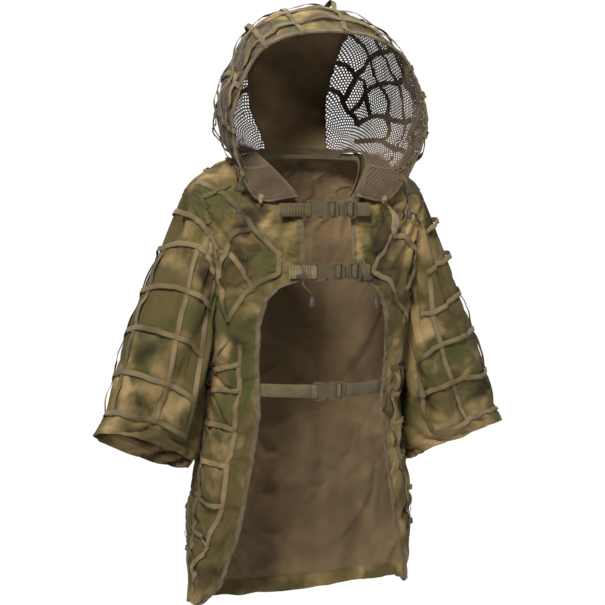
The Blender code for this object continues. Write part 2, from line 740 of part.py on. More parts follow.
def straps():
    strap_pair("neck", NECK_STRAP, 0.0295, ("neck_strap_right", "neck_strap_left"))
    strap_pair("chest", CHEST_STRAP, 0.0375, ("chest_strap_right", "chest_strap_left"))
    strap_pair("waist", WAIST_STRAP, None, ("waist_elastic", "waist_webbing"))


# Adjusting cords ----------------------------------------------------------------------------
def cord_route(leaves, lock, hang, drift):
    """Points of a hanging cord: out of the cloth, straight down through its lock, then a slight drift."""
    leaves, lock = np.array(leaves), np.array(lock)
    top = lock + (0, 0, CORD_STRAIGHT)
    foot = lock - (0, 0, CORD_STRAIGHT)
    points = []
    for share in (1.0, 0.8, 0.6, 0.4, 0.2):
        bend = share * share
        points.append(top + (leaves - top) * (bend, bend, share))
    points += [top, lock]
    for k in range(8):
        share = k / 7
        ease = share * share * (3 - 2 * share)
        points.append(foot + np.array([drift * ease, 0.0, -hang * share]))
    return points


def tube(name, points, radius, look):
    """Round cord along its points."""
    curve = bpy.data.curves.new(name, "CURVE")
    curve.dimensions = "3D"
    curve.bevel_depth = radius
    curve.bevel_resolution = 2
    curve.use_fill_caps = True
    poly = curve.splines.new("POLY")
    poly.points.add(len(points) - 1)
    for place, point in zip(poly.points, points):
        place.co = (*point, 1.0)
    obj = bpy.data.objects.new(name, curve)
    bpy.context.scene.collection.objects.link(obj)
    curve.materials.append(material(*look))
    return obj


def cord_end(name, top, length, look):
    """Teardrop end, turned about the vertical, its narrow end up."""
    x, y, z = top
    profile = ((0.0, 0.0022), (0.22, 0.0034), (0.55, 0.0052), (0.80, 0.0056), (1.0, 0.0036))
    sides = 10
    verts, faces = [], []
    for share, radius in profile:
        for k in range(sides):
            turn = 2 * math.pi * k / sides
            verts.append((x + radius * math.cos(turn), y + radius * math.sin(turn), z - length * share))
    for ring in range(len(profile) - 1):
        for k in range(sides):
            after = (k + 1) % sides
            a, b = ring * sides, (ring + 1) * sides
            faces.append([a + k, b + k, b + after, a + after])
    faces.append(list(range(sides)))
    faces.append(list(range(len(verts) - 1, len(verts) - 1 - sides, -1)))
    obj = add_object(name, verts, faces, look)
    obj.data.shade_smooth()
    return face_outwards(obj)


def cord_set(word, leaves, lock, hang, drift, way):
    """Elastic cord, cord-lock barrel with its sprung plunger, and the moulded end."""
    x, y, z = lock
    route = cord_route(leaves, lock, hang, drift)
    tube(f"{word}_cord", route, CORD_RADIUS, CORD)
    half = LOCK_LENGTH / 2
    barrel = rod(f"{word}_cord_lock", (x - half, y, z), (x + half, y, z), LOCK_RADIUS, PLASTIC, 12)
    bore = rod(f"{word}_bore_cutter", (x - way * (half - BORE_END), y, z), (x + way * (half + 0.004), y, z),
               PLUNGER_RADIUS + 0.0003, PLASTIC, 12)
    hole_radius = CORD_RADIUS + 0.0005
    hole = rod(f"{word}_hole_cutter", (x, y, z - THROUGH), (x, y, z + THROUGH), hole_radius, PLASTIC, 8)
    cut(barrel, [bore, hole])
    tip, head = x - way * PLUNGER_TIP, x + way * (half + PLUNGER_OUT)
    plunger = rod(f"{word}_cord_plunger", (tip, y, z), (head, y, z), PLUNGER_RADIUS, PLASTIC, 12)
    slot_ends = sorted((x - way * 0.0019, x + way * (0.0019 + PLUNGER_TRAVEL)))
    slot = box(f"{word}_plunger_cutter", (slot_ends[0], y - hole_radius, z - THROUGH),
               (slot_ends[1], y + hole_radius, z + THROUGH), PLASTIC)
    cut(plunger, [slot])
    x_end, y_end, z_end = route[-1]
    cord_end(f"{word}_cord_end", (x_end, y_end, z_end - GAP), 0.019, RUBBER)


def cords():
    for word, place in CORDS.items():
        cord_set(word, *place)


# The whole garment --------------------------------------------------------------------------
def main():
    clear_scene()
    back_panel()
    hood_center()
    rim_binding()
    neck_seam_tape()
    for word, side in SIDES:
        front_panel(word, side)
        sleeve(word, side)
        hood_sides(word, side)
        sleeve_tapes(word, side)
        front_tapes(word, side)
    back_tapes()
    hood_tapes()
    straps()
    cords()


main()
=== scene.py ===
"""Looks of the hooded ghillie cape: cloth, net, tapes, webbing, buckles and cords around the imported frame.

Units are metres. +Z is up, the wearer faces -Y, and the wearer's right side is -X.
"""

import math

import bpy
import numpy as np
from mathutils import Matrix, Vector


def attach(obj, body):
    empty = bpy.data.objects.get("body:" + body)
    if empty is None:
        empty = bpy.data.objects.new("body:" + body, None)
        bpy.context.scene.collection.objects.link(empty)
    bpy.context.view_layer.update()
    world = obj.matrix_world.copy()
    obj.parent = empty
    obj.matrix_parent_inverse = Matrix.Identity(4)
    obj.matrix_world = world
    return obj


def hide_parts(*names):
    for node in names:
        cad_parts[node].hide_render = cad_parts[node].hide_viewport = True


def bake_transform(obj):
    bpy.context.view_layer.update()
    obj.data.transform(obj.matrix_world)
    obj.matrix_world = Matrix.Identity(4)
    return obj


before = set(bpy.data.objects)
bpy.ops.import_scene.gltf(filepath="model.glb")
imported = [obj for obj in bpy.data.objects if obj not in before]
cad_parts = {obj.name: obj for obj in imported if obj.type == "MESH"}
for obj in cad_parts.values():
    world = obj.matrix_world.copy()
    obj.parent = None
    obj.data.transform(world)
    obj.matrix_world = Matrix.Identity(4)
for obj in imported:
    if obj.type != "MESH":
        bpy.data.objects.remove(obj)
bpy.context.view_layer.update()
SIDES = (("right", -1), ("left", 1))


def unit(vectors):
    """Vectors scaled to length one."""
    return vectors / np.maximum(np.linalg.norm(vectors, axis=-1, keepdims=True), 1e-12)


def run_along(points):
    """Distance along a line of points, from its first point."""
    return np.concatenate([[0], np.cumsum(np.linalg.norm(np.diff(points, axis=0), axis=-1))])


def add_object(name, data):
    obj = bpy.data.objects.new(name, data)
    bpy.context.scene.collection.objects.link(obj)
    return obj


def add_aimed(name, data, place, towards):
    """A camera or lamp at place that looks along towards."""
    obj = add_object(name, data)
    obj.location = place
    obj.rotation_mode = "QUATERNION"
    obj.rotation_quaternion = towards.to_track_quat("-Z", "Y")
    return obj


# Camera and cords come first ----------------------------------------------------------------
VIEW_AZIMUTH = math.radians(-18)
VIEW_ELEVATION = math.radians(4)
VIEW_DISTANCE = 3.6
VIEW_TARGET = Vector((0.0, 0.03, -0.20))
VIEW_RIGHT_SHIFT = -0.005
VIEW_UP_SHIFT = -0.0166
LENS = 109.9


def make_camera():
    back = Vector((math.sin(VIEW_AZIMUTH) * math.cos(VIEW_ELEVATION),
                   -math.cos(VIEW_AZIMUTH) * math.cos(VIEW_ELEVATION), math.sin(VIEW_ELEVATION)))
    right = Vector((math.cos(VIEW_AZIMUTH), math.sin(VIEW_AZIMUTH), 0.0))
    up = right.cross(-back)
    data = bpy.data.cameras.new("camera")
    data.lens = LENS
    data.sensor_width = 36
    data.clip_end = 100
    place = VIEW_TARGET + back * VIEW_DISTANCE + right * VIEW_RIGHT_SHIFT + up * VIEW_UP_SHIFT
    bpy.context.scene.camera = add_aimed("camera", data, place, -back)


make_camera()

CORD_RADIUS = 0.0014
CORD_SIDES = 12
CORD_STRAIGHT = 0.011  # the cord is straight this far above and below its lock's middle
# Where each cord leaves the cloth, its lock, how far it hangs and drifts sideways below the lock
CORDS = {
    "neck_right": ((-0.167, -0.104, 0.028), (-0.174, -0.116, 0.006), 0.016, -0.002),
    "neck_left": ((0.152, -0.100, 0.022), (0.158, -0.116, 0.000), 0.022, 0.002),
    "chest_right": ((-0.060, -0.122, -0.126), (-0.062, -0.146, -0.156), 0.026, 0.018),
    "chest_left": ((0.064, -0.122, -0.126), (0.062, -0.146, -0.160), 0.026, 0.020),
}


def cord_route(leaves, lock, hang, drift):
    """Points of a hanging cord: out of the cloth, straight down through its lock, then a slight drift."""
    leaves, lock = np.array(leaves), np.array(lock)
    top = lock + (0, 0, CORD_STRAIGHT)
    foot = lock - (0, 0, CORD_STRAIGHT)
    points = []
    for share in (1.0, 0.8, 0.6, 0.4, 0.2):
        bend = share * share
        points.append(top + (leaves - top) * (bend, bend, share))
    points += [top, lock]
    for k in range(8):
        share = k / 7
        ease = share * share * (3 - 2 * share)
        points.append(foot + np.array([drift * ease, 0.0, -hang * share]))
    return points


def make_cord(word, leaves, lock, hang, drift):
    """One elastic cord. Its lock, plunger and moulded end are CAD nodes that hang on it."""
    points = np.array(cord_route(leaves, lock, hang, drift))
    along = unit(np.gradient(points, axis=0))
    across = unit(np.cross(along, (0.0, 1.0, 0.0)))
    ahead = np.cross(along, across)
    turns = 2 * math.pi * np.arange(CORD_SIDES) / CORD_SIDES
    rings = points[:, None] + CORD_RADIUS * (across[:, None] * np.cos(turns)[:, None]
                                             + ahead[:, None] * np.sin(turns)[:, None])
    run = run_along(points)
    faces, corners = [], []
    for k in range(len(points) - 1):
        for j in range(CORD_SIDES):
            after = (j + 1) % CORD_SIDES
            a, b = k * CORD_SIDES, (k + 1) * CORD_SIDES
            faces.append([a + j, b + j, b + after, a + after])
            left, right = CORD_RADIUS * turns[j], CORD_RADIUS * (turns[j] + turns[1])
            corners += [(left, run[k]), (left, run[k + 1]), (right, run[k + 1]), (right, run[k])]
    last = (len(points) - 1) * CORD_SIDES
    faces += [list(range(CORD_SIDES)), list(range(last + CORD_SIDES - 1, last - 1, -1))]
    corners += [(0.0, 0.0)] * (2 * CORD_SIDES)
    mesh = bpy.data.meshes.new(f"{word}_elastic")
    mesh.from_pydata(rings.reshape(-1, 3).tolist(), [], faces)
    mesh.uv_layers.new(name="weave").data.foreach_set("uv", np.asarray(corners, np.float32).ravel())
    mesh.shade_smooth()
    cord = add_object(f"{word}_elastic", mesh)
    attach(cord, "root")
    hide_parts(f"{word}_cord")
    return cord


cords = [make_cord(word, *facts) for word, facts in CORDS.items()]

# The garment's surfaces, as the CAD frame has them --------------------------------------------
SWAY = -0.008
SIDE_Y = 0.040
SHOULDER_LEVEL = 2.0
ARMPIT_LEVEL = 4.0
LAST_LEVEL = 7.0
ARMHOLE_SPREAD = math.radians(31)
LEFT_HEM_RISE = 0.022
# Body levels, neck to hem: half width, front Y, back Y, and the heights at front, side and back
BODY_LEVELS = (
    (0.110, -0.100, 0.100, -0.038, 0.072, 0.075),
    (0.175, -0.108, 0.128, -0.055, 0.050, 0.040),
    (0.236, -0.112, 0.145, -0.100, 0.001, -0.035),
    (0.238, -0.114, 0.155, -0.170, -0.090, -0.120),
    (0.204, -0.113, 0.163, -0.290, -0.290, -0.290),
    (0.198, -0.114, 0.172, -0.420, -0.420, -0.420),
    (0.221, -0.122, 0.188, -0.600, -0.600, -0.602),
    (0.216, -0.130, 0.205, -0.798, -0.798, -0.818),
)
# Edge of the open front: body level, and the half width (in X) where the edge runs
FRONT_EDGE = (
    (0.00, 0.055), (1.60, 0.047), (2.95, 0.047), (3.04, 0.064), (3.18, 0.091), (3.40, 0.113),
    (3.75, 0.125), (4.20, 0.126), (5.00, 0.121), (5.50, 0.133), (6.20, 0.155), (6.75, 0.187),
    (7.00, 0.215),
)
SLEEVE_CENTRE = {-1: (0.319, 0.050, -0.493), 1: (0.322, 0.050, -0.501)}
SLEEVE_OUT = {-1: (0.095, 0.000, 0.036), 1: (0.099, 0.000, 0.033)}
SLEEVE_BACK = (0.000, 0.084, -0.024)
SLEEVE_BULGE = {-1: 0.024, 1: 0.016}
# Hood hoops, rim to nape, each from the neck seam to the crown
HOOD_HOOPS = (
    ((0.055, -0.103, -0.010), (0.138, -0.086, -0.008), (0.190, -0.128, 0.118),
     (0.157, -0.130, 0.232), (0.098, -0.130, 0.281), (0.0, -0.130, 0.296)),
    ((0.095, -0.056, 0.046), (0.157, -0.060, 0.047), (0.190, -0.065, 0.145),
     (0.152, -0.060, 0.262), (0.096, -0.055, 0.320), (0.0, -0.055, 0.341)),
    ((0.110, 0.002, 0.074), (0.154, 0.010, 0.074), (0.182, 0.010, 0.150),
     (0.140, 0.020, 0.264), (0.093, 0.030, 0.322), (0.0, 0.030, 0.347)),
    ((0.105, 0.032, 0.077), (0.138, 0.055, 0.083), (0.156, 0.070, 0.160),
     (0.130, 0.090, 0.232), (0.088, 0.105, 0.272), (0.0, 0.114, 0.290)),
    ((0.093, 0.056, 0.077), (0.112, 0.082, 0.088), (0.124, 0.100, 0.130),
     (0.105, 0.124, 0.165), (0.078, 0.140, 0.185), (0.0, 0.152, 0.197)),
    ((0.085, 0.066, 0.077), (0.079, 0.072, 0.077), (0.073, 0.077, 0.077),
     (0.067, 0.081, 0.077), (0.060, 0.086, 0.077), (0.0, 0.103, 0.078)),
)
HOOD_CROWN = 5.0


def spline(keys, u):
    """Catmull-Rom curves through evenly counted keys (second to last axis), at positions u."""
    keys, u = np.asarray(keys, float), np.asarray(u, float)
    first = 2 * keys[..., :1, :] - keys[..., 1:2, :]
    final = 2 * keys[..., -1:, :] - keys[..., -2:-1, :]
    padded = np.concatenate([first, keys, final], axis=-2)
    i = np.clip(np.floor(u).astype(int), 0, keys.shape[-2] - 2)
    if keys.ndim == 2:
        before, a, b, after = (padded[i + k] for k in range(4))
    else:
        before, a, b, after = (np.take_along_axis(padded, (i + k)[..., None, None], axis=-2)[..., 0, :]
                               for k in range(4))
    f = (u - i)[..., None]
    f2, f3 = f * f, f * f * f
    return ((2 * f3 - 3 * f2 + 1) * a + (f3 - 2 * f2 + f) * (b - before) / 2
            + (3 * f2 - 2 * f3) * b + (f3 - f2) * (after - a) / 2)


def body_point(angle, level, side):
    """Body: angle 0 at the front, 90 degrees at the side seam, 180 at the middle of the back."""
    angle, level, side = np.broadcast_arrays(angle, level, side)
    width, front, back, z_front, z_side, z_back = np.moveaxis(spline(BODY_LEVELS, level), -1, 0)
    sine, cosine = np.sin(angle), np.cos(angle)
    reach = np.where(cosine > 0, SIDE_Y - front, back - SIDE_Y)
    ahead, behind = np.clip(cosine, 0, None) ** 2, np.clip(cosine, None, 0) ** 2
    z = z_front * ahead + z_side * sine * sine + z_back * behind
    z = z + np.where(side > 0, LEFT_HEM_RISE * sine * sine * np.clip((level - 5) / 2, 0, None), 0.0)
    sway = SWAY * np.clip((level - ARMPIT_LEVEL) / 2, 0, 1)
    return np.stack([side * width * sine + sway, SIDE_Y - reach * cosine, z], axis=-1)


def front_edge_angle(level):
    levels, widths = zip(*FRONT_EDGE)
    half = np.interp(level, levels, widths)
    return np.arcsin(np.clip(half / spline(BODY_LEVELS, level)[..., 0], 0, 0.999))


def armhole_cut(level):
    off = level - (SHOULDER_LEVEL + ARMPIT_LEVEL) / 2
    return ARMHOLE_SPREAD * np.sqrt(np.clip(1 - off * off, 0, None))


def front_point(across, level, side):
    """Front panel: across runs from the front edge (0) to the side seam (1)."""
    first = front_edge_angle(level)
    room = math.pi / 2 - first
    cut = armhole_cut(level)
    bend = np.minimum(3.0, 0.85 * room / np.maximum(cut, 0.01))
    return body_point(first + room * across - cut * np.clip(across, 0, None) ** bend, level, side)


def back_point(across, level):
    """Back panel: across runs from the right side seam (-1) to the left one (1)."""
    angle = math.pi * (1 - np.abs(across) / 2) + armhole_cut(level) * np.abs(across) ** 3
    return body_point(angle, level, np.where(across >= 0, 1, -1))


def sleeve_point(around, down, side):
    """Sleeve: down from the armhole (0) to the hem (1); around 0 on top, 90 degrees in front."""
    level = (SHOULDER_LEVEL + ARMPIT_LEVEL) / 2 - np.cos(around)
    top = body_point(math.pi / 2 - ARMHOLE_SPREAD * np.sin(around), level, side)
    cosine, sine = np.cos(around)[..., None], np.sin(around)[..., None]
    end = (np.array(SLEEVE_CENTRE[side]) + np.array(SLEEVE_OUT[side]) * cosine
           - np.array(SLEEVE_BACK) * sine) * (side, 1, 1)
    outer = np.clip(cosine, 0, None)
    push = np.concatenate([side * outer * 0.9, -sine * 0.6, 0.25 * outer], axis=-1)
    down = np.asarray(down)[..., None]
    return top + (end - top) * down + push * SLEEVE_BULGE[side] * np.sin(math.pi * down)


def hood_point(back, up, side):
    """Hood: back from the rim (0) to the nape (5); up from the neck seam (0) to the crown (5)."""
    back, up, side = np.broadcast_arrays(back, up, side)
    flat = np.array(HOOD_HOOPS).reshape(len(HOOD_HOOPS), -1)
    hoops = spline(flat, back).reshape(back.shape + (6, 3))
    keys = np.concatenate([hoops, hoops[..., 4:5, :] * (-1, 1, 1)], axis=-2)
    point = spline(keys, up)
    return point * np.stack([side, np.ones_like(side), np.ones_like(side)], axis=-1)


def smooth(x, low, high):
    share = np.clip((np.asarray(x, float) - low) / (high - low), 0, 1)
    return share * share * (3 - 2 * share)


def ripple(points, wave, seed):
    """Smooth wandering noise of about unit size, with a typical wavelength in metres."""
    rng = np.random.default_rng(seed)
    total = np.zeros(points.shape[:-1])
    for _ in range(9):
        way = rng.normal(size=3)
        way *= 2 * math.pi / (wave * rng.uniform(0.7, 1.5)) / np.linalg.norm(way)
        total += np.sin(points @ way + rng.uniform(0, 2 * math.pi))
    return total / 3


def creases(points, wave, seed):
    """Soft ridges with sharper valleys between them, of about unit size."""
    bumps = ripple(points + 0.012 * ripple(points, 2.2 * wave, seed + 50)[..., None], wave, seed)
    return 0.6 - 1.2 * np.exp(-np.abs(bumps) * 2.0)


class Patch:
    """A cloth surface on a grid: points[row v][column u]. The outward side is kept on normals()."""

    def __init__(self, surface, us, vs, outward, closed=False):
        self.us, self.vs = np.asarray(us, float), np.asarray(vs, float)
        u, v = np.meshgrid(self.us, self.vs)
        self.points = surface(u, v)
        self.closed = closed
        self.sign = 1.0
        out = outward(self.points)
        if float((self.normals() * out).sum()) < 0:
            self.sign = -1.0

    def slopes(self):
        if self.closed:
            du = (np.roll(self.points, -1, axis=1) - np.roll(self.points, 1, axis=1)) / 2
        else:
            du = np.gradient(self.points, axis=1)
        return du, np.gradient(self.points, axis=0)

    def normals(self):
        du, dv = self.slopes()
        return unit(np.cross(du, dv) * self.sign)

    def lift(self, height):
        """Move the cloth out along its normals by height, one number for each grid point."""
        self.points = self.points + self.normals() * np.asarray(height)[..., None]
        return self

    def index(self, u, v):
        """Grid positions, as fractional column and row, of surface coordinates."""
        row = np.interp(v, self.vs, np.arange(len(self.vs)))
        if self.closed:
            turn = 2 * math.pi
            return np.mod(u - self.us[0], turn) / turn * len(self.us), row
        return np.interp(u, self.us, np.arange(len(self.us))), row

    def sample(self, field, u, v):
        """Bilinear reading of a grid field at surface coordinates."""
        column, row = self.index(u, v)
        cols, rows = len(self.us), len(self.vs)
        c0, r0 = np.floor(column).astype(int), np.clip(np.floor(row).astype(int), 0, rows - 2)
        c0 = c0 % cols if self.closed else np.clip(c0, 0, cols - 2)
        c1 = (c0 + 1) % cols
        a = (column - np.floor(column) if self.closed else column - c0)[..., None]
        b = (row - r0)[..., None]
        low = field[r0, c0] * (1 - a) + field[r0, c1] * a
        high = field[r0 + 1, c0] * (1 - a) + field[r0 + 1, c1] * a
        return low * (1 - b) + high * b

    def at(self, u, v, lift=0.0):
        """Point and normal at surface coordinates, lifted off the cloth."""
        u, v = np.broadcast_arrays(np.asarray(u, float), np.asarray(v, float))
        normal = unit(self.sample(self.normals(), u, v))
        return self.sample(self.points, u, v) + normal * np.asarray(lift)[..., None], normal

    def refine(self, factor):
        """The same cloth on a finer grid, curved smoothly through the coarse one."""
        rows = np.linspace(0, len(self.vs) - 1, (len(self.vs) - 1) * factor + 1)
        flat = self.points.reshape(len(self.vs), -1)
        tall = spline(flat, rows).reshape(len(rows), len(self.us), 3).transpose(1, 0, 2)
        count = len(self.us)
        if self.closed:
            tall = np.concatenate([tall[-2:], tall, tall[:3]])
            columns = np.arange(count * factor) / factor + 2
        else:
            columns = np.linspace(0, count - 1, (count - 1) * factor + 1)
        wide = spline(tall.reshape(len(tall), -1), columns).reshape(len(columns), len(rows), 3)
        self.points = wide.transpose(1, 0, 2)
        self.vs = np.interp(rows, np.arange(len(self.vs)), self.vs)
        if self.closed:
            step = 2 * math.pi / count / factor
            self.us = self.us[0] + step * np.arange(count * factor)
        else:
            self.us = np.interp(columns, np.arange(count), self.us)
        return self

    def part(self, us, vs):
        """A smaller patch of the same cloth, read at its own coordinates."""
        made = Patch.__new__(Patch)
        made.us, made.vs, made.closed, made.sign = np.asarray(us), np.asarray(vs), self.closed, self.sign
        u, v = np.meshgrid(made.us, made.vs)
        made.points = self.sample(self.points, u, v)
        return made

    def area(self):
        """Area of the cloth in square metres."""
        du, dv = self.slopes()
        return float(np.linalg.norm(np.cross(du, dv), axis=-1).sum())

    def flat_size(self):
        """Width and length of the piece laid flat: its longest row and longest column."""
        across = np.linalg.norm(np.diff(self.points, axis=1), axis=-1).sum(1).max()
        down = np.linalg.norm(np.diff(self.points, axis=0), axis=-1).sum(0).max()
        return float(across), float(down)


# Cloth simulation ---------------------------------------------------------------------------
SETTLE_FRAMES = 22
DROP_KEPT = 0.2  # the patches are drawn as long as they hang, so most of the simulated drop is left out


def cloth_object(patch, pins, slack):
    """A simulated copy of a patch. pins is how firmly each grid point is held, 0 to 1."""
    rows, cols = patch.points.shape[:2]
    index = np.arange(rows * cols).reshape(rows, cols)
    across = np.roll(index, -1, axis=1) if patch.closed else index[:, 1:]
    here = index if patch.closed else index[:, :-1]
    quads = np.stack([here[:-1], across[:-1], across[1:], here[1:]], axis=-1).reshape(-1, 4)
    mesh = bpy.data.meshes.new("settling")
    mesh.from_pydata(patch.points.reshape(-1, 3).tolist(), [], quads.tolist())
    obj = add_object("settling", mesh)
    group = obj.vertex_groups.new(name="pin")
    held = np.round(np.broadcast_to(pins, (rows, cols)).reshape(-1), 2)
    for weight in np.unique(held):
        group.add(np.flatnonzero(held == weight).tolist(), float(weight), "REPLACE")
    cloth = obj.modifiers.new("settle", "CLOTH")
    cloth.point_cache.frame_start, cloth.point_cache.frame_end = 1, SETTLE_FRAMES
    cloth.collision_settings.use_collision = False
    facts = cloth.settings
    facts.vertex_group_mass = "pin"
    facts.quality = 6
    facts.mass = 0.12
    facts.tension_stiffness = facts.compression_stiffness = 12
    facts.shear_stiffness = 3
    facts.bending_stiffness = 0.35
    facts.air_damping = 2
    facts.shrink_min = -slack
    facts.effector_weights.gravity = 0.5
    return obj


def settle(jobs):
    """Settle all patches together. Each job is (patch, pins, slack, most that a point may move)."""
    scene = bpy.context.scene
    objects = [cloth_object(patch, pins, slack) for patch, pins, slack, _ in jobs]
    for number in range(1, SETTLE_FRAMES + 1):
        scene.frame_set(number)
    depsgraph = bpy.context.evaluated_depsgraph_get()
    for obj, (patch, _, _, most) in zip(objects, jobs):
        mesh = obj.evaluated_get(depsgraph).data
        found = np.empty(len(mesh.vertices) * 3)
        mesh.vertices.foreach_get("co", found)
        move = found.reshape(patch.points.shape) - patch.points
        move[..., 2] *= DROP_KEPT
        far = np.maximum(np.linalg.norm(move, axis=-1, keepdims=True), 1e-9)
        patch.points = patch.points + move * np.minimum(1, most / far)
    for obj in objects:
        bpy.data.objects.remove(obj)
    scene.frame_set(1)


# Materials ----------------------------------------------------------------------------------
TAN = (0.150, 0.101, 0.042)
OLIVE = (0.040, 0.029, 0.009)
GREEN = (0.029, 0.028, 0.007)
BROWN = (0.012, 0.008, 0.003)


class Nodes:
    """Short calls for building one material's node tree."""

    def __init__(self, name, roughness, sheen=0.0):
        self.material = bpy.data.materials.new(name)
        self.material.use_nodes = True
        self.tree = self.material.node_tree
        self.shader = self.tree.nodes["Principled BSDF"]
        self.shader.inputs["Roughness"].default_value = roughness
        self.shader.inputs["Specular IOR Level"].default_value = 0.14
        self.shader.inputs["Sheen Weight"].default_value = sheen
        self.shader.inputs["Sheen Roughness"].default_value = 0.5

    def feed(self, socket, value):
        """Give an input a linked socket or a constant."""
        if isinstance(value, bpy.types.NodeSocket):
            self.tree.links.new(value, socket)
        else:
            socket.default_value = value

    def add(self, kind, **inputs):
        node = self.tree.nodes.new(kind)
        for key, value in inputs.items():
            self.feed(node.inputs[key.replace("_", " ")], value)
        return node

    def place(self):
        return self.add("ShaderNodeTexCoord").outputs["Object"]

    def weave_place(self):
        node = self.add("ShaderNodeUVMap")
        node.uv_map = "weave"
        return node.outputs["UV"]

    def noise(self, vector, scale, detail=3.0, roughness=0.5, shift=(0, 0, 0), stretch=(1, 1, 1)):
        moved = self.add("ShaderNodeMapping", Vector=vector, Location=shift, Scale=stretch)
        return self.add("ShaderNodeTexNoise", Vector=moved.outputs["Vector"], Scale=scale, Detail=detail,
                        Roughness=roughness).outputs["Fac"]

    def ramp(self, factor, low, high):
        node = self.add("ShaderNodeMapRange", Value=factor)
        node.interpolation_type = "SMOOTHSTEP"
        node.inputs["From Min"].default_value, node.inputs["From Max"].default_value = low, high
        return node.outputs["Result"]

    def math(self, operation, a, b=0.0, c=0.0):
        node = self.tree.nodes.new("ShaderNodeMath")
        node.operation = operation
        for socket, value in zip(node.inputs, (a, b, c)):
            self.feed(socket, value)
        return node.outputs[0]

    def mix(self, factor, a, b, blend="MIX"):
        node = self.tree.nodes.new("ShaderNodeMix")
        node.data_type = "RGBA"
        node.blend_type = blend
        for socket, value in zip((node.inputs[0], node.inputs[6], node.inputs[7]), (factor, a, b)):
            self.feed(socket, (*value, 1.0) if isinstance(value, tuple) else value)
        return node.outputs[2]

    def colour(self, socket):
        self.tree.links.new(socket, self.shader.inputs["Base Color"])

    def shaded(self, colour, height, gain, ground):
        """A colour times a grey that rises with height. With a surface's relief as the height, the darker low
        parts are painted shade; with other noise it is a plain change of tone.
        """
        return self.mix(1.0, colour, self.math("MULTIPLY_ADD", height, gain, ground), "MULTIPLY")

    def bump(self, height, distance, strength, under=None):
        node = self.add("ShaderNodeBump", Height=height, Distance=distance, Strength=strength)
        if under:
            self.tree.links.new(under, node.inputs["Normal"])
        self.tree.links.new(node.outputs["Normal"], self.shader.inputs["Normal"])
        return node.outputs["Normal"]

    def threads(self, pitch, ratio=1.0):
        """Height of a plain weave, threads pitch apart, from 0 to 1."""
        parts = self.add("ShaderNodeSeparateXYZ", Vector=self.weave_place())
        wave_u = self.math("SINE", self.math("MULTIPLY", parts.outputs[0], 2 * math.pi / pitch))
        wave_v = self.math("SINE", self.math("MULTIPLY", parts.outputs[1], 2 * math.pi / pitch / ratio))
        return self.math("MULTIPLY_ADD", self.math("MULTIPLY", wave_u, wave_v), 0.5, 0.5)

    def ribs(self, pitch, lean=0.0):
        """Height of ribs across the weave's length, 0 to 1. lean slants them."""
        parts = self.add("ShaderNodeSeparateXYZ", Vector=self.weave_place())
        along = self.math("MULTIPLY_ADD", parts.outputs[0], lean, parts.outputs[1])
        wave = self.math("SINE", self.math("MULTIPLY", along, 2 * math.pi / pitch))
        return self.math("MULTIPLY_ADD", wave, 0.5, 0.5)


def camo_colour(nodes, shift=(0.0, 0.0, 0.0)):
    """Blurred woodland blotches: tan ground, olive, green and dark brown."""
    place = nodes.place()
    warp = nodes.add("ShaderNodeTexNoise", Vector=place, Scale=9.0, Detail=2.0).outputs["Color"]
    bent = nodes.add("ShaderNodeVectorMath", Vector=place)
    bent.operation = "MULTIPLY_ADD"
    nodes.tree.links.new(warp, bent.inputs[0])
    bent.inputs[1].default_value = (0.05, 0.05, 0.07)
    nodes.tree.links.new(place, bent.inputs[2])

    def blotches(spot, scale, detail, roughness, offset, low, high):
        moved = tuple(a + b for a, b in zip(shift, offset))
        return nodes.ramp(nodes.noise(spot, scale, detail, roughness, moved), low, high)

    spot = bent.outputs[0]
    colour = nodes.mix(blotches(spot, 7.5, 3.0, 0.45, (3, 1, 2), 0.36, 0.55), TAN, OLIVE)
    colour = nodes.mix(blotches(spot, 8.5, 2.5, 0.45, (7, 5, 1), 0.52, 0.66), colour, GREEN)
    colour = nodes.mix(blotches(spot, 12.0, 3.0, 0.5, (2, 9, 4), 0.54, 0.74), colour, BROWN)
    light = blotches(spot, 11.0, 3.0, 0.5, (5, 3, 8), 0.56, 0.72)
    colour = nodes.mix(nodes.math("MULTIPLY", light, 0.55), colour, TAN)
    return nodes.shaded(colour, blotches(place, 260.0, 3.0, 0.65, (1, 1, 1), 0.30, 0.70), 0.20, 0.90)


WEAVE_PITCH = 0.0007


def cloth_material():
    """Printed cloth, plain woven, with small creases, and painted shade between the threads."""
    nodes = Nodes("camouflage_print", 0.90)
    weave = nodes.threads(WEAVE_PITCH)
    # Painted shade: the print is darkened in the weave's low parts, between the threads.
    nodes.colour(nodes.shaded(camo_colour(nodes), weave, 0.16, 0.92))
    crease = nodes.noise(nodes.place(), 55.0, 4.0, 0.6, stretch=(1, 1, 0.6))
    nodes.bump(weave, 0.00022, 0.6, nodes.bump(crease, 0.0022, 0.55))
    return nodes.material


def lining_material():
    """Unprinted inner face of the cloth: the print shows through it faintly."""
    nodes = Nodes("cloth_inside", 0.92, sheen=0.03)
    faded = nodes.mix(0.72, camo_colour(nodes), (0.070, 0.044, 0.023))
    weave = nodes.threads(WEAVE_PITCH)
    # Painted shade: the faded print is darkened in the weave's low parts, between the threads.
    nodes.colour(nodes.shaded(faded, weave, 0.16, 0.92))
    nodes.bump(weave, 0.00022, 0.6, nodes.bump(nodes.noise(nodes.place(), 50.0, 4.0, 0.6), 0.002, 0.5))
    return nodes.material


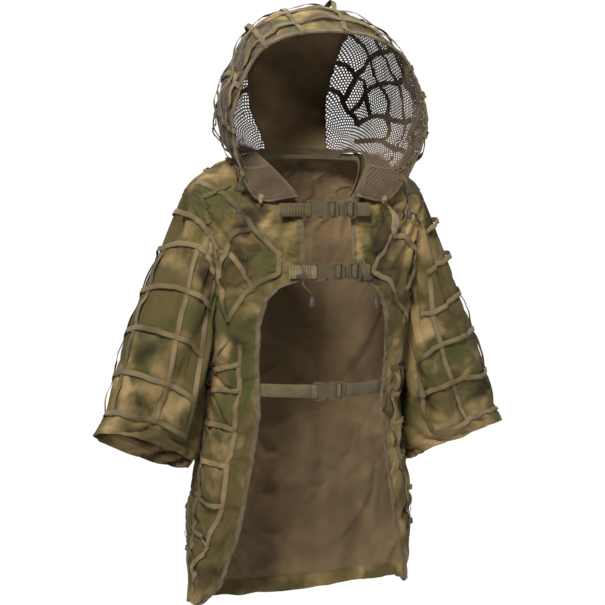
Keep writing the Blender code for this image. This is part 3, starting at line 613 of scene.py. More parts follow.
def plain_cloth_material(name, light, dark, rib, lean=0.0, depth=0.0003):
    """Woven band or yarn: ribs and threads, with uneven dye, and painted shade in the low parts of the ribs
    and threads.
    """
    nodes = Nodes(name, 0.85, sheen=0.04)
    uneven = nodes.ramp(nodes.noise(nodes.place(), 24.0, 4.0, 0.6), 0.32, 0.68)
    ribs = nodes.ribs(rib, lean)
    threads = nodes.threads(rib * 0.45, 0.8)
    both = nodes.math("MULTIPLY_ADD", threads, 0.35, nodes.math("MULTIPLY", ribs, 0.65))
    # Painted shade: darker in the low parts of the ribs and threads; the uneven dye is real.
    nodes.colour(nodes.shaded(nodes.mix(uneven, dark, light), both, 0.42, 0.72))
    nodes.bump(both, depth, 0.9)
    return nodes.material


def tape_material():
    """Foliage tape: the camouflage print, faded towards khaki, on a flat woven tape, with painted shade in
    the rib valleys and along both edges.
    """
    nodes = Nodes("foliage_tape_weave", 0.88, sheen=0.03)
    khaki = nodes.mix(nodes.ramp(nodes.noise(nodes.place(), 9.0, 3.0, 0.5, (4, 4, 4)), 0.38, 0.62),
                      (0.112, 0.081, 0.042), (0.050, 0.037, 0.016))
    colour = nodes.mix(0.25, khaki, camo_colour(nodes, (2.0, 6.0, 3.0)))
    parts = nodes.add("ShaderNodeSeparateXYZ", Vector=nodes.weave_place())
    edge = nodes.ramp(nodes.math("ABSOLUTE", parts.outputs[0]), 0.0036, 0.0046)
    ribs = nodes.ribs(0.0011)
    # Painted shade: darker in the low parts of the ribs and in a band along each edge of the tape.
    rib_and_edge_shade = nodes.math("MULTIPLY_ADD", ribs, 0.26, 0.86)
    rib_and_edge_shade = nodes.math("MULTIPLY", rib_and_edge_shade, nodes.math("MULTIPLY_ADD", edge, -0.16, 1.0))
    nodes.colour(nodes.mix(1.0, colour, rib_and_edge_shade, "MULTIPLY"))
    nodes.bump(ribs, 0.0003, 0.8, nodes.bump(edge, 0.0004, 0.6))
    return nodes.material


def net_material():
    """Knitted polyester net, a little shiny on the yarn."""
    nodes = Nodes("net_yarn", 0.80, sheen=0.04)
    uneven = nodes.ramp(nodes.noise(nodes.place(), 14.0, 3.0, 0.5), 0.35, 0.65)
    colour = nodes.mix(uneven, (0.036, 0.023, 0.012), (0.060, 0.040, 0.022))
    yarn = nodes.noise(nodes.place(), 2600.0, 2.0, 0.6)
    # Painted shade: darker where the yarn's fine relief is low; the uneven brown is the yarn's own.
    nodes.colour(nodes.shaded(colour, yarn, 0.5, 0.72))
    nodes.bump(yarn, 0.0002, 0.8)
    return nodes.material


def plastic_material(name, light, dark, roughness):
    """Moulded acetal: spark-eroded grain, faint flow marks, and a painted highlight that makes sharp edges
    lighter.
    """
    nodes = Nodes(name, roughness)
    nodes.shader.inputs["Specular IOR Level"].default_value = 0.22
    flow = nodes.ramp(nodes.noise(nodes.place(), 45.0, 3.0, 0.5, stretch=(1, 1, 2.5)), 0.30, 0.70)
    # Painted highlight: sharp convex edges are mixed towards a lighter colour.
    edge_highlight_mask = nodes.ramp(nodes.add("ShaderNodeNewGeometry").outputs["Pointiness"], 0.50, 0.60)
    colour = nodes.mix(flow, dark, light)
    edge_highlight_colour = tuple(1.5 * part for part in light)
    nodes.colour(nodes.mix(nodes.math("MULTIPLY", edge_highlight_mask, 0.6), colour, edge_highlight_colour))
    grain = nodes.noise(nodes.place(), 2200.0, 3.0, 0.6)
    rough = nodes.math("MULTIPLY_ADD", grain, 0.20, roughness - 0.08)
    nodes.tree.links.new(rough, nodes.shader.inputs["Roughness"])
    nodes.bump(grain, 0.00012, 0.7)
    return nodes.material


CAMO = cloth_material()
LINING = lining_material()
TAPE = tape_material()
NET = net_material()
BINDING = plain_cloth_material("binding_weave", (0.078, 0.057, 0.030), (0.046, 0.034, 0.017), 0.0013)
WEBBING = plain_cloth_material("webbing_weave", (0.060, 0.045, 0.023), (0.038, 0.028, 0.014), 0.0021,
                               depth=0.0005)
ELASTIC = plain_cloth_material("elastic_weave", (0.064, 0.048, 0.024), (0.038, 0.028, 0.014), 0.0068,
                               lean=0.75, depth=0.0007)
CORD_COVER = plain_cloth_material("cord_braid", (0.050, 0.038, 0.021), (0.030, 0.023, 0.012), 0.0016,
                                  lean=0.5)
THREAD = plain_cloth_material("sewing_thread", (0.070, 0.052, 0.027), (0.045, 0.034, 0.018), 0.0006)
PLASTIC = plastic_material("acetal", (0.036, 0.027, 0.013), (0.027, 0.020, 0.009), 0.46)
DARK_PLASTIC = plastic_material("cord_lock_acetal", (0.019, 0.014, 0.008), (0.013, 0.010, 0.006), 0.50)
RUBBER = plastic_material("cord_end_rubber", (0.022, 0.019, 0.015), (0.015, 0.013, 0.010), 0.62)


# Mesh builders ------------------------------------------------------------------------------
def add_piece(name, verts, faces, looks, marks=None, corners=None):
    """A mesh piece. marks is each face's material number, corners every face corner's weave coordinates."""
    mesh = bpy.data.meshes.new(name)
    mesh.from_pydata(np.asarray(verts, float).tolist(), [], faces)
    for look in looks:
        mesh.materials.append(look)
    if marks is not None:
        mesh.polygons.foreach_set("material_index", np.asarray(marks, np.int32))
    layer = mesh.uv_layers.new(name="weave")
    if corners is not None:
        layer.data.foreach_set("uv", np.asarray(corners, np.float32).ravel())
    mesh.shade_smooth()
    mesh.set_sharp_from_angle(angle=math.radians(55))
    mesh.update()
    return add_object(name, mesh)


def finish_piece(obj, replaced=()):
    """A piece of the garment itself, which is all one body."""
    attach(obj, "root")
    if replaced:
        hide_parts(*replaced)
    return obj


def shell(name, patch, lift, thick, looks):
    """Closed cloth of a patch: its outer face lifted, thick metres through."""
    normal = patch.normals()
    outer, inner = patch.points + normal * lift, patch.points + normal * (lift - thick)
    rows, cols = patch.points.shape[:2]
    wrapped = patch.points
    if patch.closed:
        wrapped = np.concatenate([wrapped, wrapped[:, :1]], axis=1)
    run_u = np.zeros(wrapped.shape[:2])
    run_u[:, 1:] = np.cumsum(np.linalg.norm(np.diff(wrapped, axis=1), axis=-1), axis=1)
    run_v = np.zeros(wrapped.shape[:2])
    run_v[1:] = np.cumsum(np.linalg.norm(np.diff(wrapped, axis=0), axis=-1), axis=0)
    weave = np.stack([run_u, run_v], axis=-1)
    count = rows * cols
    last = cols if patch.closed else cols - 1
    faces, marks, corners = [], [], []

    def put(corner_list, layer_list, mark):
        faces.append([layer * count + r * cols + c % cols for (r, c), layer in zip(corner_list, layer_list)])
        corners.extend(weave[r, c] for r, c in corner_list)
        marks.append(mark)

    for r in range(rows - 1):
        for c in range(last):
            ring = [(r, c), (r, c + 1), (r + 1, c + 1), (r + 1, c)]
            if patch.sign < 0:
                ring.reverse()
            put(ring, (0,) * 4, 0)
            put(ring[::-1], (1,) * 4, 1)
    sides = [((0, c), (0, c + 1)) for c in range(last)]
    sides += [((rows - 1, c + 1), (rows - 1, c)) for c in range(last)]
    if not patch.closed:
        sides += [((r + 1, 0), (r, 0)) for r in range(rows - 1)]
        sides += [((r, cols - 1), (r + 1, cols - 1)) for r in range(rows - 1)]
    for a, b in sides:
        if patch.sign < 0:
            a, b = b, a
        put([b, a, a, b], (0, 0, 1, 1), 0)
    verts = np.concatenate([outer.reshape(-1, 3), inner.reshape(-1, 3)])
    return add_piece(name, verts, faces, looks, marks, corners)


class Band:
    """Many ribbons gathered into one mesh."""

    PROFILE = ((-0.5, 0.0), (-0.46, 0.5), (-0.2, 0.6), (0.2, 0.6), (0.46, 0.5),
               (0.5, 0.0), (0.46, -0.5), (0.2, -0.4), (-0.2, -0.4), (-0.46, -0.5))
    STITCH_RADIUS = 0.00035
    STITCH_LIFT = 0.0002
    STITCH_SHARE = 0.72  # of the pitch that a stitch covers

    def __init__(self):
        self.verts, self.faces, self.corners, self.count = [], [], [], 0

    def ribbon(self, points, normals, width, thick, twist=None):
        """One closed ribbon along points, facing normals, optionally twisted by an angle at each point."""
        points = np.asarray(points, float)
        along = unit(np.gradient(points, axis=0))
        across = unit(np.cross(normals, along))
        up = np.cross(along, across)
        if twist is not None:
            cosine, sine = np.cos(twist)[:, None], np.sin(twist)[:, None]
            across, up = across * cosine + up * sine, up * cosine - across * sine
        size = len(self.PROFILE)
        rings = np.stack([points + across * (a * width) + up * (h * thick) for a, h in self.PROFILE], axis=1)
        run = run_along(points)
        start = self.count
        for k in range(len(points) - 1):
            for j in range(size):
                after = (j + 1) % size
                a, b = start + k * size, start + (k + 1) * size
                self.faces.append([a + after, b + after, b + j, a + j])
                left, right = self.PROFILE[j][0] * width, self.PROFILE[after][0] * width
                self.corners += [(right, run[k]), (right, run[k + 1]), (left, run[k + 1]), (left, run[k])]
        end = start + (len(points) - 1) * size
        self.faces.append([start + j for j in range(size)])
        self.faces.append([end + j for j in reversed(range(size))])
        self.corners += [(a * width, run[0]) for a, _ in self.PROFILE]
        self.corners += [(a * width, run[-1]) for a, _ in reversed(self.PROFILE)]
        self.verts.append(rings.reshape(-1, 3))
        self.count += rings.shape[0] * size

    def stitch(self, start, end, normal):
        """One raised stitch between two points on the cloth."""
        radius = self.STITCH_RADIUS
        start, end = np.asarray(start), np.asarray(end)
        middle = (start + end) / 2 + normal * radius * 1.5
        along = (end - start) / max(1e-9, float(np.linalg.norm(end - start)))
        side = np.cross(normal, along) * radius
        up = np.asarray(normal) * radius
        ring = [middle + side, middle + up, middle - side, middle - up]
        first = self.count
        self.verts.append(np.array([start, *ring, end]))
        for k in range(4):
            after = (k + 1) % 4
            self.faces.append([first, first + 1 + after, first + 1 + k])
            self.faces.append([first + 5, first + 1 + k, first + 1 + after])
            self.corners += [(0, 0), (radius, 0), (0, radius)] * 2
        self.count += 6

    def seam(self, points, normals, pitch=0.0032):
        """A row of stitches along a line on the cloth."""
        run = run_along(points)

        def at(field, x):
            return np.array([np.interp(x, run, field[:, k]) for k in range(3)])

        for a in np.arange(0, run[-1] - pitch, pitch):
            normal = at(normals, a)
            lift = normal * self.STITCH_LIFT
            self.stitch(at(points, a) + lift, at(points, a + pitch * self.STITCH_SHARE) + lift, normal)

    def piece(self, name, look):
        return add_piece(name, np.concatenate(self.verts), self.faces, [look], corners=self.corners)


def ribbon_piece(name, points, normals, width, thick, look, replaced=()):
    """A piece made of one ribbon."""
    band = Band()
    band.ribbon(points, normals, width, thick)
    finish_piece(band.piece(name, look), replaced)


def level_outward(points):
    """Level directions away from the middle of the neck."""
    return unit(points * (1.0, 1.0, 0.0))


# Cloth surfaces -----------------------------------------------------------------------------
def body_outward(points):
    up = np.clip(0.10 + points[..., 2], 0, None)
    return np.stack([points[..., 0] - SWAY, points[..., 1] - SIDE_Y, up * 4], axis=-1)


def hood_outward(points):
    return points - np.array([0.0, 0.0, 0.15])


def sleeve_outward(side):
    top = np.array([side * 0.215, 0.045, -0.13])
    axis = np.array(SLEEVE_CENTRE[side]) * (side, 1, 1) - top
    axis /= np.linalg.norm(axis)

    def outward(points):
        along = points - top
        return along - axis * (along @ axis)[..., None]

    return outward


def make_front(side):
    def surface(u, v):
        return front_point(u, v, side)

    patch = Patch(surface, np.linspace(0, 1, 33), np.linspace(0.0, LAST_LEVEL, 128), body_outward)
    u, v = np.meshgrid(patch.us, patch.vs)
    tail = smooth(v, 3.6, 6.6)
    fold = np.sin(2 * math.pi * (1.6 * u + 0.10 * v) + side)
    fold = fold + 0.5 * np.sin(2 * math.pi * (3.1 * u - 0.06 * v) + 1.3)
    chest = smooth(v, 0.2, 1.2) * (1 - smooth(v, 3.2, 4.4))
    pull = np.sin(2 * math.pi * (2.6 * u + 1.15 * v) + 0.6) * np.sin(math.pi * u) * chest
    edge = np.sin(math.pi * np.clip(u, 0, 0.97))
    crumple = 0.0030 * creases(patch.points, 0.070, 3 + side) * np.sin(math.pi * np.clip(u, 0, 1)) ** 0.5
    return patch.lift(0.0065 * fold * tail * edge + 0.0036 * pull + crumple)


def make_back():
    patch = Patch(back_point, np.linspace(-1, 1, 73), np.linspace(0.0, LAST_LEVEL, 128), body_outward)
    u, v = np.meshgrid(patch.us, patch.vs)
    fold = np.sin(2 * math.pi * 3.2 * u + 0.5 * v) + 0.6 * np.sin(2 * math.pi * 5.1 * u - 0.8)
    yoke = np.sin(math.pi * 2.2 * u) * np.sin(2 * math.pi * 0.45 * v)
    edge = 1 - np.abs(u) ** 6
    height = 0.0060 * fold * smooth(v, 2.5, 6.5) + 0.0025 * yoke * smooth(v, 0.5, 1.5)
    return patch.lift((height + 0.0030 * creases(patch.points, 0.080, 8)) * edge)


def make_sleeve(side):
    def surface(u, v):
        return sleeve_point(u, v, side)

    around = np.arange(72) * 2 * math.pi / 72
    patch = Patch(surface, around, np.linspace(0.0, 1.0, 66), sleeve_outward(side), closed=True)
    u, v = np.meshgrid(patch.us, patch.vs)
    long = np.sin(4 * u + 1.2 * side) + 0.6 * np.sin(7 * u + 2.0 * v)
    bend = np.sin(2 * math.pi * (2.4 * v + 0.25 * np.sin(u)) + side) * (0.5 - 0.5 * np.cos(u + 0.6))
    height = 0.0050 * long * smooth(v, 0.25, 1.0) + 0.0035 * bend * np.sin(math.pi * v)
    crumple = 0.0034 * creases(patch.points, 0.075, 20 + side)
    return patch.lift(height + crumple * np.sin(math.pi * np.clip(v, 0, 0.6)))


def hood_surface(across, back):
    return hood_point(back, HOOD_CROWN - np.abs(across), np.where(across >= 0, 1, -1))


def make_hood():
    across = np.concatenate([-np.linspace(HOOD_CROWN, 0.07, 70), [0.0], np.linspace(0.07, HOOD_CROWN, 70)])
    patch = Patch(hood_surface, across, np.linspace(0.0, HOOD_CROWN - 0.02, 60), hood_outward)
    u, v = np.meshgrid(patch.us, patch.vs)
    inside = np.sin(math.pi * v / HOOD_CROWN) ** 0.5 * smooth(HOOD_CROWN - np.abs(u), 0.1, 0.8)
    gather = np.sin(2 * math.pi * 0.75 * u + 0.8 * v) * (1 - smooth(np.abs(u), 0.6, 1.6))
    height = 0.0028 * ripple(patch.points, 0.085, 40) + 0.0022 * gather
    return patch.lift(height * inside)


fronts = {side: make_front(side) for _, side in SIDES}
back = make_back()
sleeves = {side: make_sleeve(side) for _, side in SIDES}
hood = make_hood()


def body_pins(patch, seam_low, seam_high):
    """Hold for a front or the back: firm at the neck and the side seams, loose towards the hem."""
    u, v = np.meshgrid(patch.us, patch.vs)
    pins = 0.10 + 0.25 * (1 - smooth(v, 1.5, 4.0))
    return np.maximum(pins, np.maximum(smooth(np.abs(u), seam_low, seam_high), 1 - smooth(v, 0.0, 0.15)))


def settle_all():
    """Let the cloth hang: seams are held, and the slack between them buckles into folds."""
    jobs = []
    for patch in fronts.values():
        front_edge = 0.75 * (1 - smooth(np.meshgrid(patch.us, patch.vs)[0], 0.0, 0.06))
        jobs.append((patch, np.maximum(body_pins(patch, 0.93, 0.99), front_edge), 0.045, 0.012))
    jobs.append((back, body_pins(back, 0.95, 0.995), 0.040, 0.012))
    for patch in sleeves.values():
        _, v = np.meshgrid(patch.us, patch.vs)
        pins = np.maximum(0.08 + 0.12 * smooth(v, 0.9, 1.0), 1 - smooth(v, 0.0, 0.06))
        jobs.append((patch, pins, 0.050, 0.012))
    u, v = np.meshgrid(hood.us, hood.vs)
    pins = 0.16 + 0.6 * (1 - smooth(v, 0.0, 0.12)) + 0.84 * smooth(np.abs(u), HOOD_CROWN - 0.3, HOOD_CROWN)
    pins = np.minimum(1.0, pins + smooth(v, HOOD_CROWN - 0.5, HOOD_CROWN - 0.05))
    jobs.append((hood, pins, 0.020, 0.006))
    settle(jobs)


settle_all()
for patch in (*fronts.values(), back, *sleeves.values(), hood):
    patch.refine(2)

# Cloth pieces -------------------------------------------------------------------------------
CLOTH = 0.0014
HEM_THICK = CLOTH + 0.0018
BINDING_THICK = CLOTH + 0.0022
BINDING_WIDTH = 0.009
EDGE_STITCH_PITCH = 0.0034
BACK_HEM_LEVEL = LAST_LEVEL - 0.14
SLEEVE_HEM_DOWN = 0.952
SEAM_WIDTH = 0.010
stitches = Band()


def declare(obj, patch):
    """Work out a cloth piece's flat cut, its longest width and length, and its own area; the results are not
    kept.
    """
    width, length = patch.flat_size()
    min(patch.area(), width * length)


def between(lines, low, high):
    """A patch's grid lines from low to high, both ends included."""
    inside = lines[(lines > low + 1e-6) & (lines < high - 1e-6)]
    return np.concatenate([[low], inside, [high]])


def stitch_along(patch, us, vs, lift):
    us, vs = np.broadcast_arrays(us, vs)
    points, normals = patch.at(us, vs, lift)
    stitches.seam(points, normals, EDGE_STITCH_PITCH)


def edge_share(patch, width):
    """Width in metres as a share of the patch's columns, for each of its rows."""
    steps = np.linalg.norm(np.diff(patch.points, axis=1), axis=-1)
    return width / steps[:, :4].mean(axis=1) * abs(patch.us[1] - patch.us[0])


def front_pieces(word, side):
    patch = fronts[side]
    cloth = shell(f"front_cloth_{word}", patch, 0.0, CLOTH, [CAMO, LINING])
    finish_piece(cloth, [f"front_panel_{word}"])

    share = edge_share(patch, BINDING_WIDTH)
    strip = patch.part(np.zeros(5), patch.vs)
    for k, part in enumerate((-0.04, 0.25, 0.5, 0.75, 1.0)):
        strip.points[:, k] = patch.sample(patch.points, np.clip(share * part, 0, 1), patch.vs)
    start = strip.points[:, 1] - strip.points[:, 0]
    strip.points[:, 0] = strip.points[:, 0] - 0.12 * start
    edge = shell(f"front_binding_cloth_{word}", strip, 0.0011, BINDING_THICK, [BINDING, BINDING])
    finish_piece(edge, [f"front_binding_{word}"])
    stitch_along(patch, share * 0.82, patch.vs, 0.0013)
    declare(edge, strip)
    declare(cloth, patch)


def back_pieces():
    cloth = shell("back_cloth", back, 0.0, CLOTH, [CAMO, LINING])
    finish_piece(cloth, ["back_panel"])
    hem_patch = back.part(back.us, between(back.vs, BACK_HEM_LEVEL, LAST_LEVEL))
    hem = shell("back_hem_cloth", hem_patch, 0.0009, HEM_THICK, [CAMO, CAMO])
    finish_piece(hem, ["back_hem"])
    for level in (BACK_HEM_LEVEL + 0.012, BACK_HEM_LEVEL + 0.028):
        stitch_along(back, back.us, level, 0.0011)
    declare(hem, hem_patch)
    declare(cloth, back)


def sleeve_pieces(word, side):
    patch = sleeves[side]
    cloth = shell(f"sleeve_cloth_{word}", patch, 0.0, CLOTH, [CAMO, LINING])
    finish_piece(cloth, [f"sleeve_{word}"])
    hem_patch = patch.part(patch.us, between(patch.vs, SLEEVE_HEM_DOWN, 1.0))
    hem_patch.points[-1] += np.array([0, 0, -0.0012])
    hem = shell(f"sleeve_hem_cloth_{word}", hem_patch, 0.0009, HEM_THICK, [CAMO, CAMO])
    finish_piece(hem, [f"sleeve_hem_{word}"])
    ring = np.concatenate([patch.us, patch.us[:1] + 2 * math.pi])
    for down in (0.958, 0.966):
        stitch_along(patch, ring, down, 0.0011)
    declare(hem, hem_patch)
    declare(cloth, patch)


def seam_strip(name, patch, us, vs):
    """A felled seam: a flat fold of cloth along a line, with two rows of stitches."""
    us, vs = np.broadcast_arrays(us, vs)
    points, normals = patch.at(us, vs, 0.0006)
    ribbon_piece(name, points, normals, SEAM_WIDTH, 0.0016, CAMO)
    across = np.cross(normals, unit(np.gradient(points, axis=0)))
    for way in (-0.32, 0.32):
        stitches.seam(points + across * way * SEAM_WIDTH + normals * 0.0008, normals)


def body_seams():
    side_line, armhole_line = 0.985, 0.006
    for word, side in SIDES:
        shoulder = np.linspace(0.02, SHOULDER_LEVEL, 60)
        seam_strip(f"shoulder_seam_{word}", fronts[side], side_line, shoulder)
        below_arm = np.linspace(ARMPIT_LEVEL, LAST_LEVEL, 100)
        seam_strip(f"side_seam_{word}", fronts[side], side_line, below_arm)
        ring = np.linspace(0, 2 * math.pi, 140)
        seam_strip(f"armhole_seam_{word}", sleeves[side], ring, armhole_line)


for word, side in SIDES:
    front_pieces(word, side)
    sleeve_pieces(word, side)
back_pieces()
body_seams()


# Hood ---------------------------------------------------------------------------------------
NET_PITCH = 0.0058
NET_THICK = 0.0006
HOLE_SHARE = 0.57  # of each cell's width
CENTRE_HALF = 1.06  # the camouflage panel reaches this far from the crown, over the net's edge
FACING_BACK = 1.0  # how far back the doubled band of net inside the rim reaches
NECK_LINE = HOOD_CROWN - 0.03  # the neck seam's line: from the crown at the sides, from the rim at the nape


def net_chart(side, low, high, first, final):
    """Flat chart of a side of the hood: for each row, the distance along it from its middle line."""
    ups = np.linspace(low, high, 160)
    backs = np.linspace(first, final, 120)
    middle = 70
    points, _ = hood.at(*np.meshgrid(side * ups, backs))
    run = np.cumsum(np.linalg.norm(np.diff(points, axis=1, prepend=points[:, :1]), axis=-1), axis=1)
    run -= run[:, middle:middle + 1]
    spine = np.linalg.norm(np.diff(points[:, middle], axis=0, prepend=points[:1, middle]), axis=-1)
    return ups, backs, run, np.cumsum(spine)


def net_piece(name, side, low, high, first, final, lift, turn):
    """Hexagonal net laid on the hood between four lines, as real yarn and open holes."""
    ups, backs, run, spine = net_chart(side, low, high, first, final)
    reach_s, reach_t = float(np.abs(run).max()), float(spine[-1])
    cosine, sine = math.cos(turn), math.sin(turn)
    count = int(2 * (reach_s + reach_t) / NET_PITCH)
    keys, places, faces = {}, [], []

    def locate(s, t):
        """Surface coordinates of a chart point, held inside the edges."""
        row = float(np.interp(t, spine, np.arange(len(spine))))
        low_row = min(int(row), len(spine) - 2)
        share = row - low_row
        up = np.interp(s, run[low_row], ups) * (1 - share) + np.interp(s, run[low_row + 1], ups) * share
        return side * up, float(np.interp(row, np.arange(len(backs)), backs))

    def inside(s, t):
        if not 0 < t < spine[-1]:
            return False
        row = int(np.interp(t, spine, np.arange(len(spine))))
        return run[row, 0] < s < run[row, -1]

    def corner(key, s, t):
        if key not in keys:
            keys[key] = len(places)
            places.append(locate(s, t))
        return keys[key]

    radius = NET_PITCH / math.sqrt(3)
    for j in range(-count, count):
        for i in range(-count, count):
            x, y = (i + 0.5 * (j % 2)) * NET_PITCH, j * NET_PITCH * math.sqrt(3) / 2
            s, t = x * cosine - y * sine, x * sine + y * cosine + reach_t / 2
            if not inside(s, t):
                continue
            ring, hole = [], []
            for k in range(6):
                angle = math.pi / 6 + k * math.pi / 3
                dx, dy = radius * math.cos(angle), radius * math.sin(angle)
                key = (round((x + dx) / NET_PITCH * 12), round((y + dy) / NET_PITCH * 12))
                ex, ey = dx * cosine - dy * sine, dx * sine + dy * cosine
                ring.append(corner(key, s + ex, t + ey))
                hole.append(corner((i, j, k), s + ex * HOLE_SHARE, t + ey * HOLE_SHARE))
            for k in range(6):
                after = (k + 1) % 6
                faces.append([ring[k], ring[after], hole[after], hole[k]])
    spots = np.array(places)
    points, normals = hood.at(spots[:, 0], spots[:, 1], lift)
    total = len(points)
    faces = np.array(faces)
    first_face = points[faces[0]]
    facing = np.cross(first_face[1] - first_face[0], first_face[3] - first_face[0]) @ normals[faces[0, 0]]
    if facing < 0:
        faces = faces[:, ::-1]
    edges = dict.fromkeys((a, b) for face in faces for a, b in zip(face, np.roll(face, -1)))
    walls = [[b, a, a + total, b + total] for a, b in edges if (b, a) not in edges]
    verts = np.concatenate([points, points - normals * NET_THICK])
    every = faces.tolist() + (faces[:, ::-1] + total).tolist() + walls
    return add_piece(name, verts, every, [NET])


def hood_panels():
    """The printed centre panel and the rim binding."""
    centre_us = between(hood.us, -CENTRE_HALF, CENTRE_HALF)
    centre_patch = hood.part(centre_us, between(hood.vs, 0.0, HOOD_CROWN - 0.03))
    centre = shell("hood_cloth", centre_patch, 0.0008, CLOTH, [CAMO, LINING])
    finish_piece(centre, ["hood_center_panel"])
    rim_us = between(hood.us, -HOOD_CROWN + 0.02, HOOD_CROWN - 0.02)
    rim_patch = hood.part(rim_us, np.array([0.0, 0.03, 0.06, 0.09, 0.12]))
    rim_patch.points[0] += np.array([0.0, -0.0008, 0.0])
    rim = shell("hood_rim_cloth", rim_patch, 0.0014, BINDING_THICK, [BINDING, BINDING])
    finish_piece(rim, ["hood_rim_binding"])
    stitch_along(hood, hood.us, 0.098, 0.0016)
    for way in (-1, 1):
        stitch_along(hood, way * (CENTRE_HALF - 0.05), np.linspace(0.1, HOOD_CROWN - 0.1, 150), 0.0010)
    return centre, centre_patch, rim, rim_patch


def hood_side(word, side, centre, rim):
    """One side's net, the doubled band inside the rim, and the tapes along their edges."""
    net = net_piece(f"hood_net_cloth_{word}", side, 0.96, HOOD_CROWN, 0.03, HOOD_CROWN - 0.025, -0.0004,
                    0.26 * side)
    finish_piece(net, [f"hood_net_{word}"])
    facing = net_piece(f"hood_facing_cloth_{word}", side, 1.10, HOOD_CROWN - 0.05, 0.05, FACING_BACK, -0.0040,
                       0.38 * side)
    finish_piece(facing, [f"hood_facing_{word}"])
    low, high = sorted((side * 1.0, side * HOOD_CROWN))
    whole = hood.part(between(hood.us, low, high), hood.vs)
    doubled = hood.part(whole.us, between(hood.vs, 0.05, FACING_BACK))
    declare(net, whole)
    declare(facing, doubled)
    points, normals = hood.at(np.linspace(1.1, HOOD_CROWN - 0.1, 110) * side, FACING_BACK, -0.0050)
    ribbon_piece(f"hood_facing_edge_{word}", points, normals, 0.006, 0.0008, BINDING)
    points, normals = hood.at(side * NECK_LINE, np.linspace(0.15, HOOD_CROWN - 0.2, 60), 0.0006)
    ribbon_piece(f"neck_seam_{word}", points, normals, 0.010, 0.0024, BINDING)
    return net


def hood_pieces():
    centre, centre_patch, rim, rim_patch = hood_panels()
    nets = [hood_side(word, side, centre, rim) for word, side in SIDES]
    points, _ = hood.at(np.linspace(-HOOD_CROWN, HOOD_CROWN, 90), NECK_LINE)
    normals = level_outward(points)
    points = points + normals * 0.0010 - (0.0, 0.0, 0.0035)
    ribbon_piece("neck_seam_nape", points, normals, 0.013, 0.0024, BINDING)
    declare(rim, rim_patch)
    declare(centre, centre_patch)


hood_pieces()


# Foliage tapes ------------------------------------------------------------------------------
TAPE_WIDTH = 0.0105
TAPE_THICK = 0.0009
TAPE_STEP = 0.0045
RIM_BACKS = np.array([0.002, 0.002, 0.03, 0.08, 0.14])  # where a runner's turned-in end lies
RIM_LIFTS = np.array([0.0032, -0.0020, -0.0036, -0.0042, -0.0044])
TALL_RISE = 0.0075  # how much higher a stretch stands that is left as a loop
TOP_LAYER = 0.0027  # height of tapes that cross over others
dice = np.random.default_rng(11)


def tape(band, patch, stops, base=0.0012, loop=0.0028, wander=0.0015, tall=()):
    """One tape sewn down at its stops, slack between them. tall numbers the stretches that stand up."""
    stops = np.asarray(stops, float)
    us, vs, lifts, slides, twists = [], [], [], [], []
    for k in range(len(stops) - 1):
        points, _ = patch.at(stops[k:k + 2, 0], stops[k:k + 2, 1])
        steps = max(6, int(np.linalg.norm(points[1] - points[0]) / TAPE_STEP))
        share = np.linspace(0, 1, steps, endpoint=k == len(stops) - 2)
        us.append(stops[k, 0] + (stops[k + 1, 0] - stops[k, 0]) * share)
        vs.append(stops[k, 1] + (stops[k + 1, 1] - stops[k, 1]) * share)
        rise = loop * dice.uniform(0.25, 1.3) + (TALL_RISE if k in tall else 0.0)
        hump = np.sin(math.pi * np.clip((share - 0.08) / 0.84, 0, 1)) ** 1.5
        lifts.append(base + rise * hump)
        slides.append(wander * dice.uniform(-1, 1) * np.sin(math.pi * share))
        twists.append(dice.uniform(-0.20, 0.20) * hump)
    us, vs = np.concatenate(us), np.concatenate(vs)
    points, normals = patch.at(us, vs, np.concatenate(lifts))
    along = np.gradient(points, axis=0)
    across = np.cross(normals, along / np.maximum(np.linalg.norm(along, axis=-1, keepdims=True), 1e-9))
    points = points + across * np.concatenate(slides)[:, None]
    band.ribbon(points, normals, TAPE_WIDTH, TAPE_THICK, np.concatenate(twists))
    for u, v in stops:
        bar_tack(patch, u, v, base)


def bar_tack(patch, u, v, base):
    """A short zigzag of thread that sews a tape down."""
    point, normal = patch.at([u], [v], base + TAPE_THICK * 0.75)
    point, normal = point[0], normal[0]
    along = np.cross(normal, [0.0, 0.0, 1.0])
    along /= max(1e-9, float(np.linalg.norm(along)))
    across = np.cross(normal, along)
    reach, rise = 0.0034, 0.0011
    corners = [point + along * (reach * (k / 4 * 2 - 1)) + across * (rise if k % 2 else -rise)
               for k in range(5)]
    for a, b in zip(corners, corners[1:]):
        stitches.stitch(a, b, normal)


# Sleeve tapes by side: each column and row is a list of (around in radians, down) stops
SLEEVE_COLUMNS = {
    -1: (((-0.40, 0.10), (-0.30, 0.27), (-0.22, 0.44), (-0.15, 0.61), (-0.10, 0.78), (-0.08, 0.93)),
         ((0.22, 0.24), (0.30, 0.41), (0.36, 0.58), (0.40, 0.75), (0.42, 0.93)),
         ((1.10, 0.10), (1.15, 0.31), (1.25, 0.51), (1.36, 0.72), (1.42, 0.90)),
         ((1.86, 0.03), (1.92, 0.20), (1.97, 0.42), (2.00, 0.66), (2.10, 0.88)),
         ((-1.15, 0.12), (-1.10, 0.30), (-1.05, 0.48), (-1.00, 0.65), (-0.95, 0.81), (-0.90, 0.94))),
    1: (((-0.30, 0.10), (-0.22, 0.27), (-0.16, 0.44), (-0.10, 0.61), (-0.06, 0.78), (-0.04, 0.93)),
        ((0.10, 0.12), (0.12, 0.25), (0.10, 0.41), (0.08, 0.59), (0.06, 0.78), (0.05, 0.94)),
        ((1.42, 0.20), (1.54, 0.36), (1.55, 0.52), (1.56, 0.71), (1.53, 0.92)),
        ((2.38, 0.36), (2.42, 0.61), (2.34, 0.80), (2.20, 0.91)),
        ((-1.15, 0.12), (-1.10, 0.30), (-1.05, 0.48), (-1.00, 0.65), (-0.95, 0.81), (-0.90, 0.94))),
}
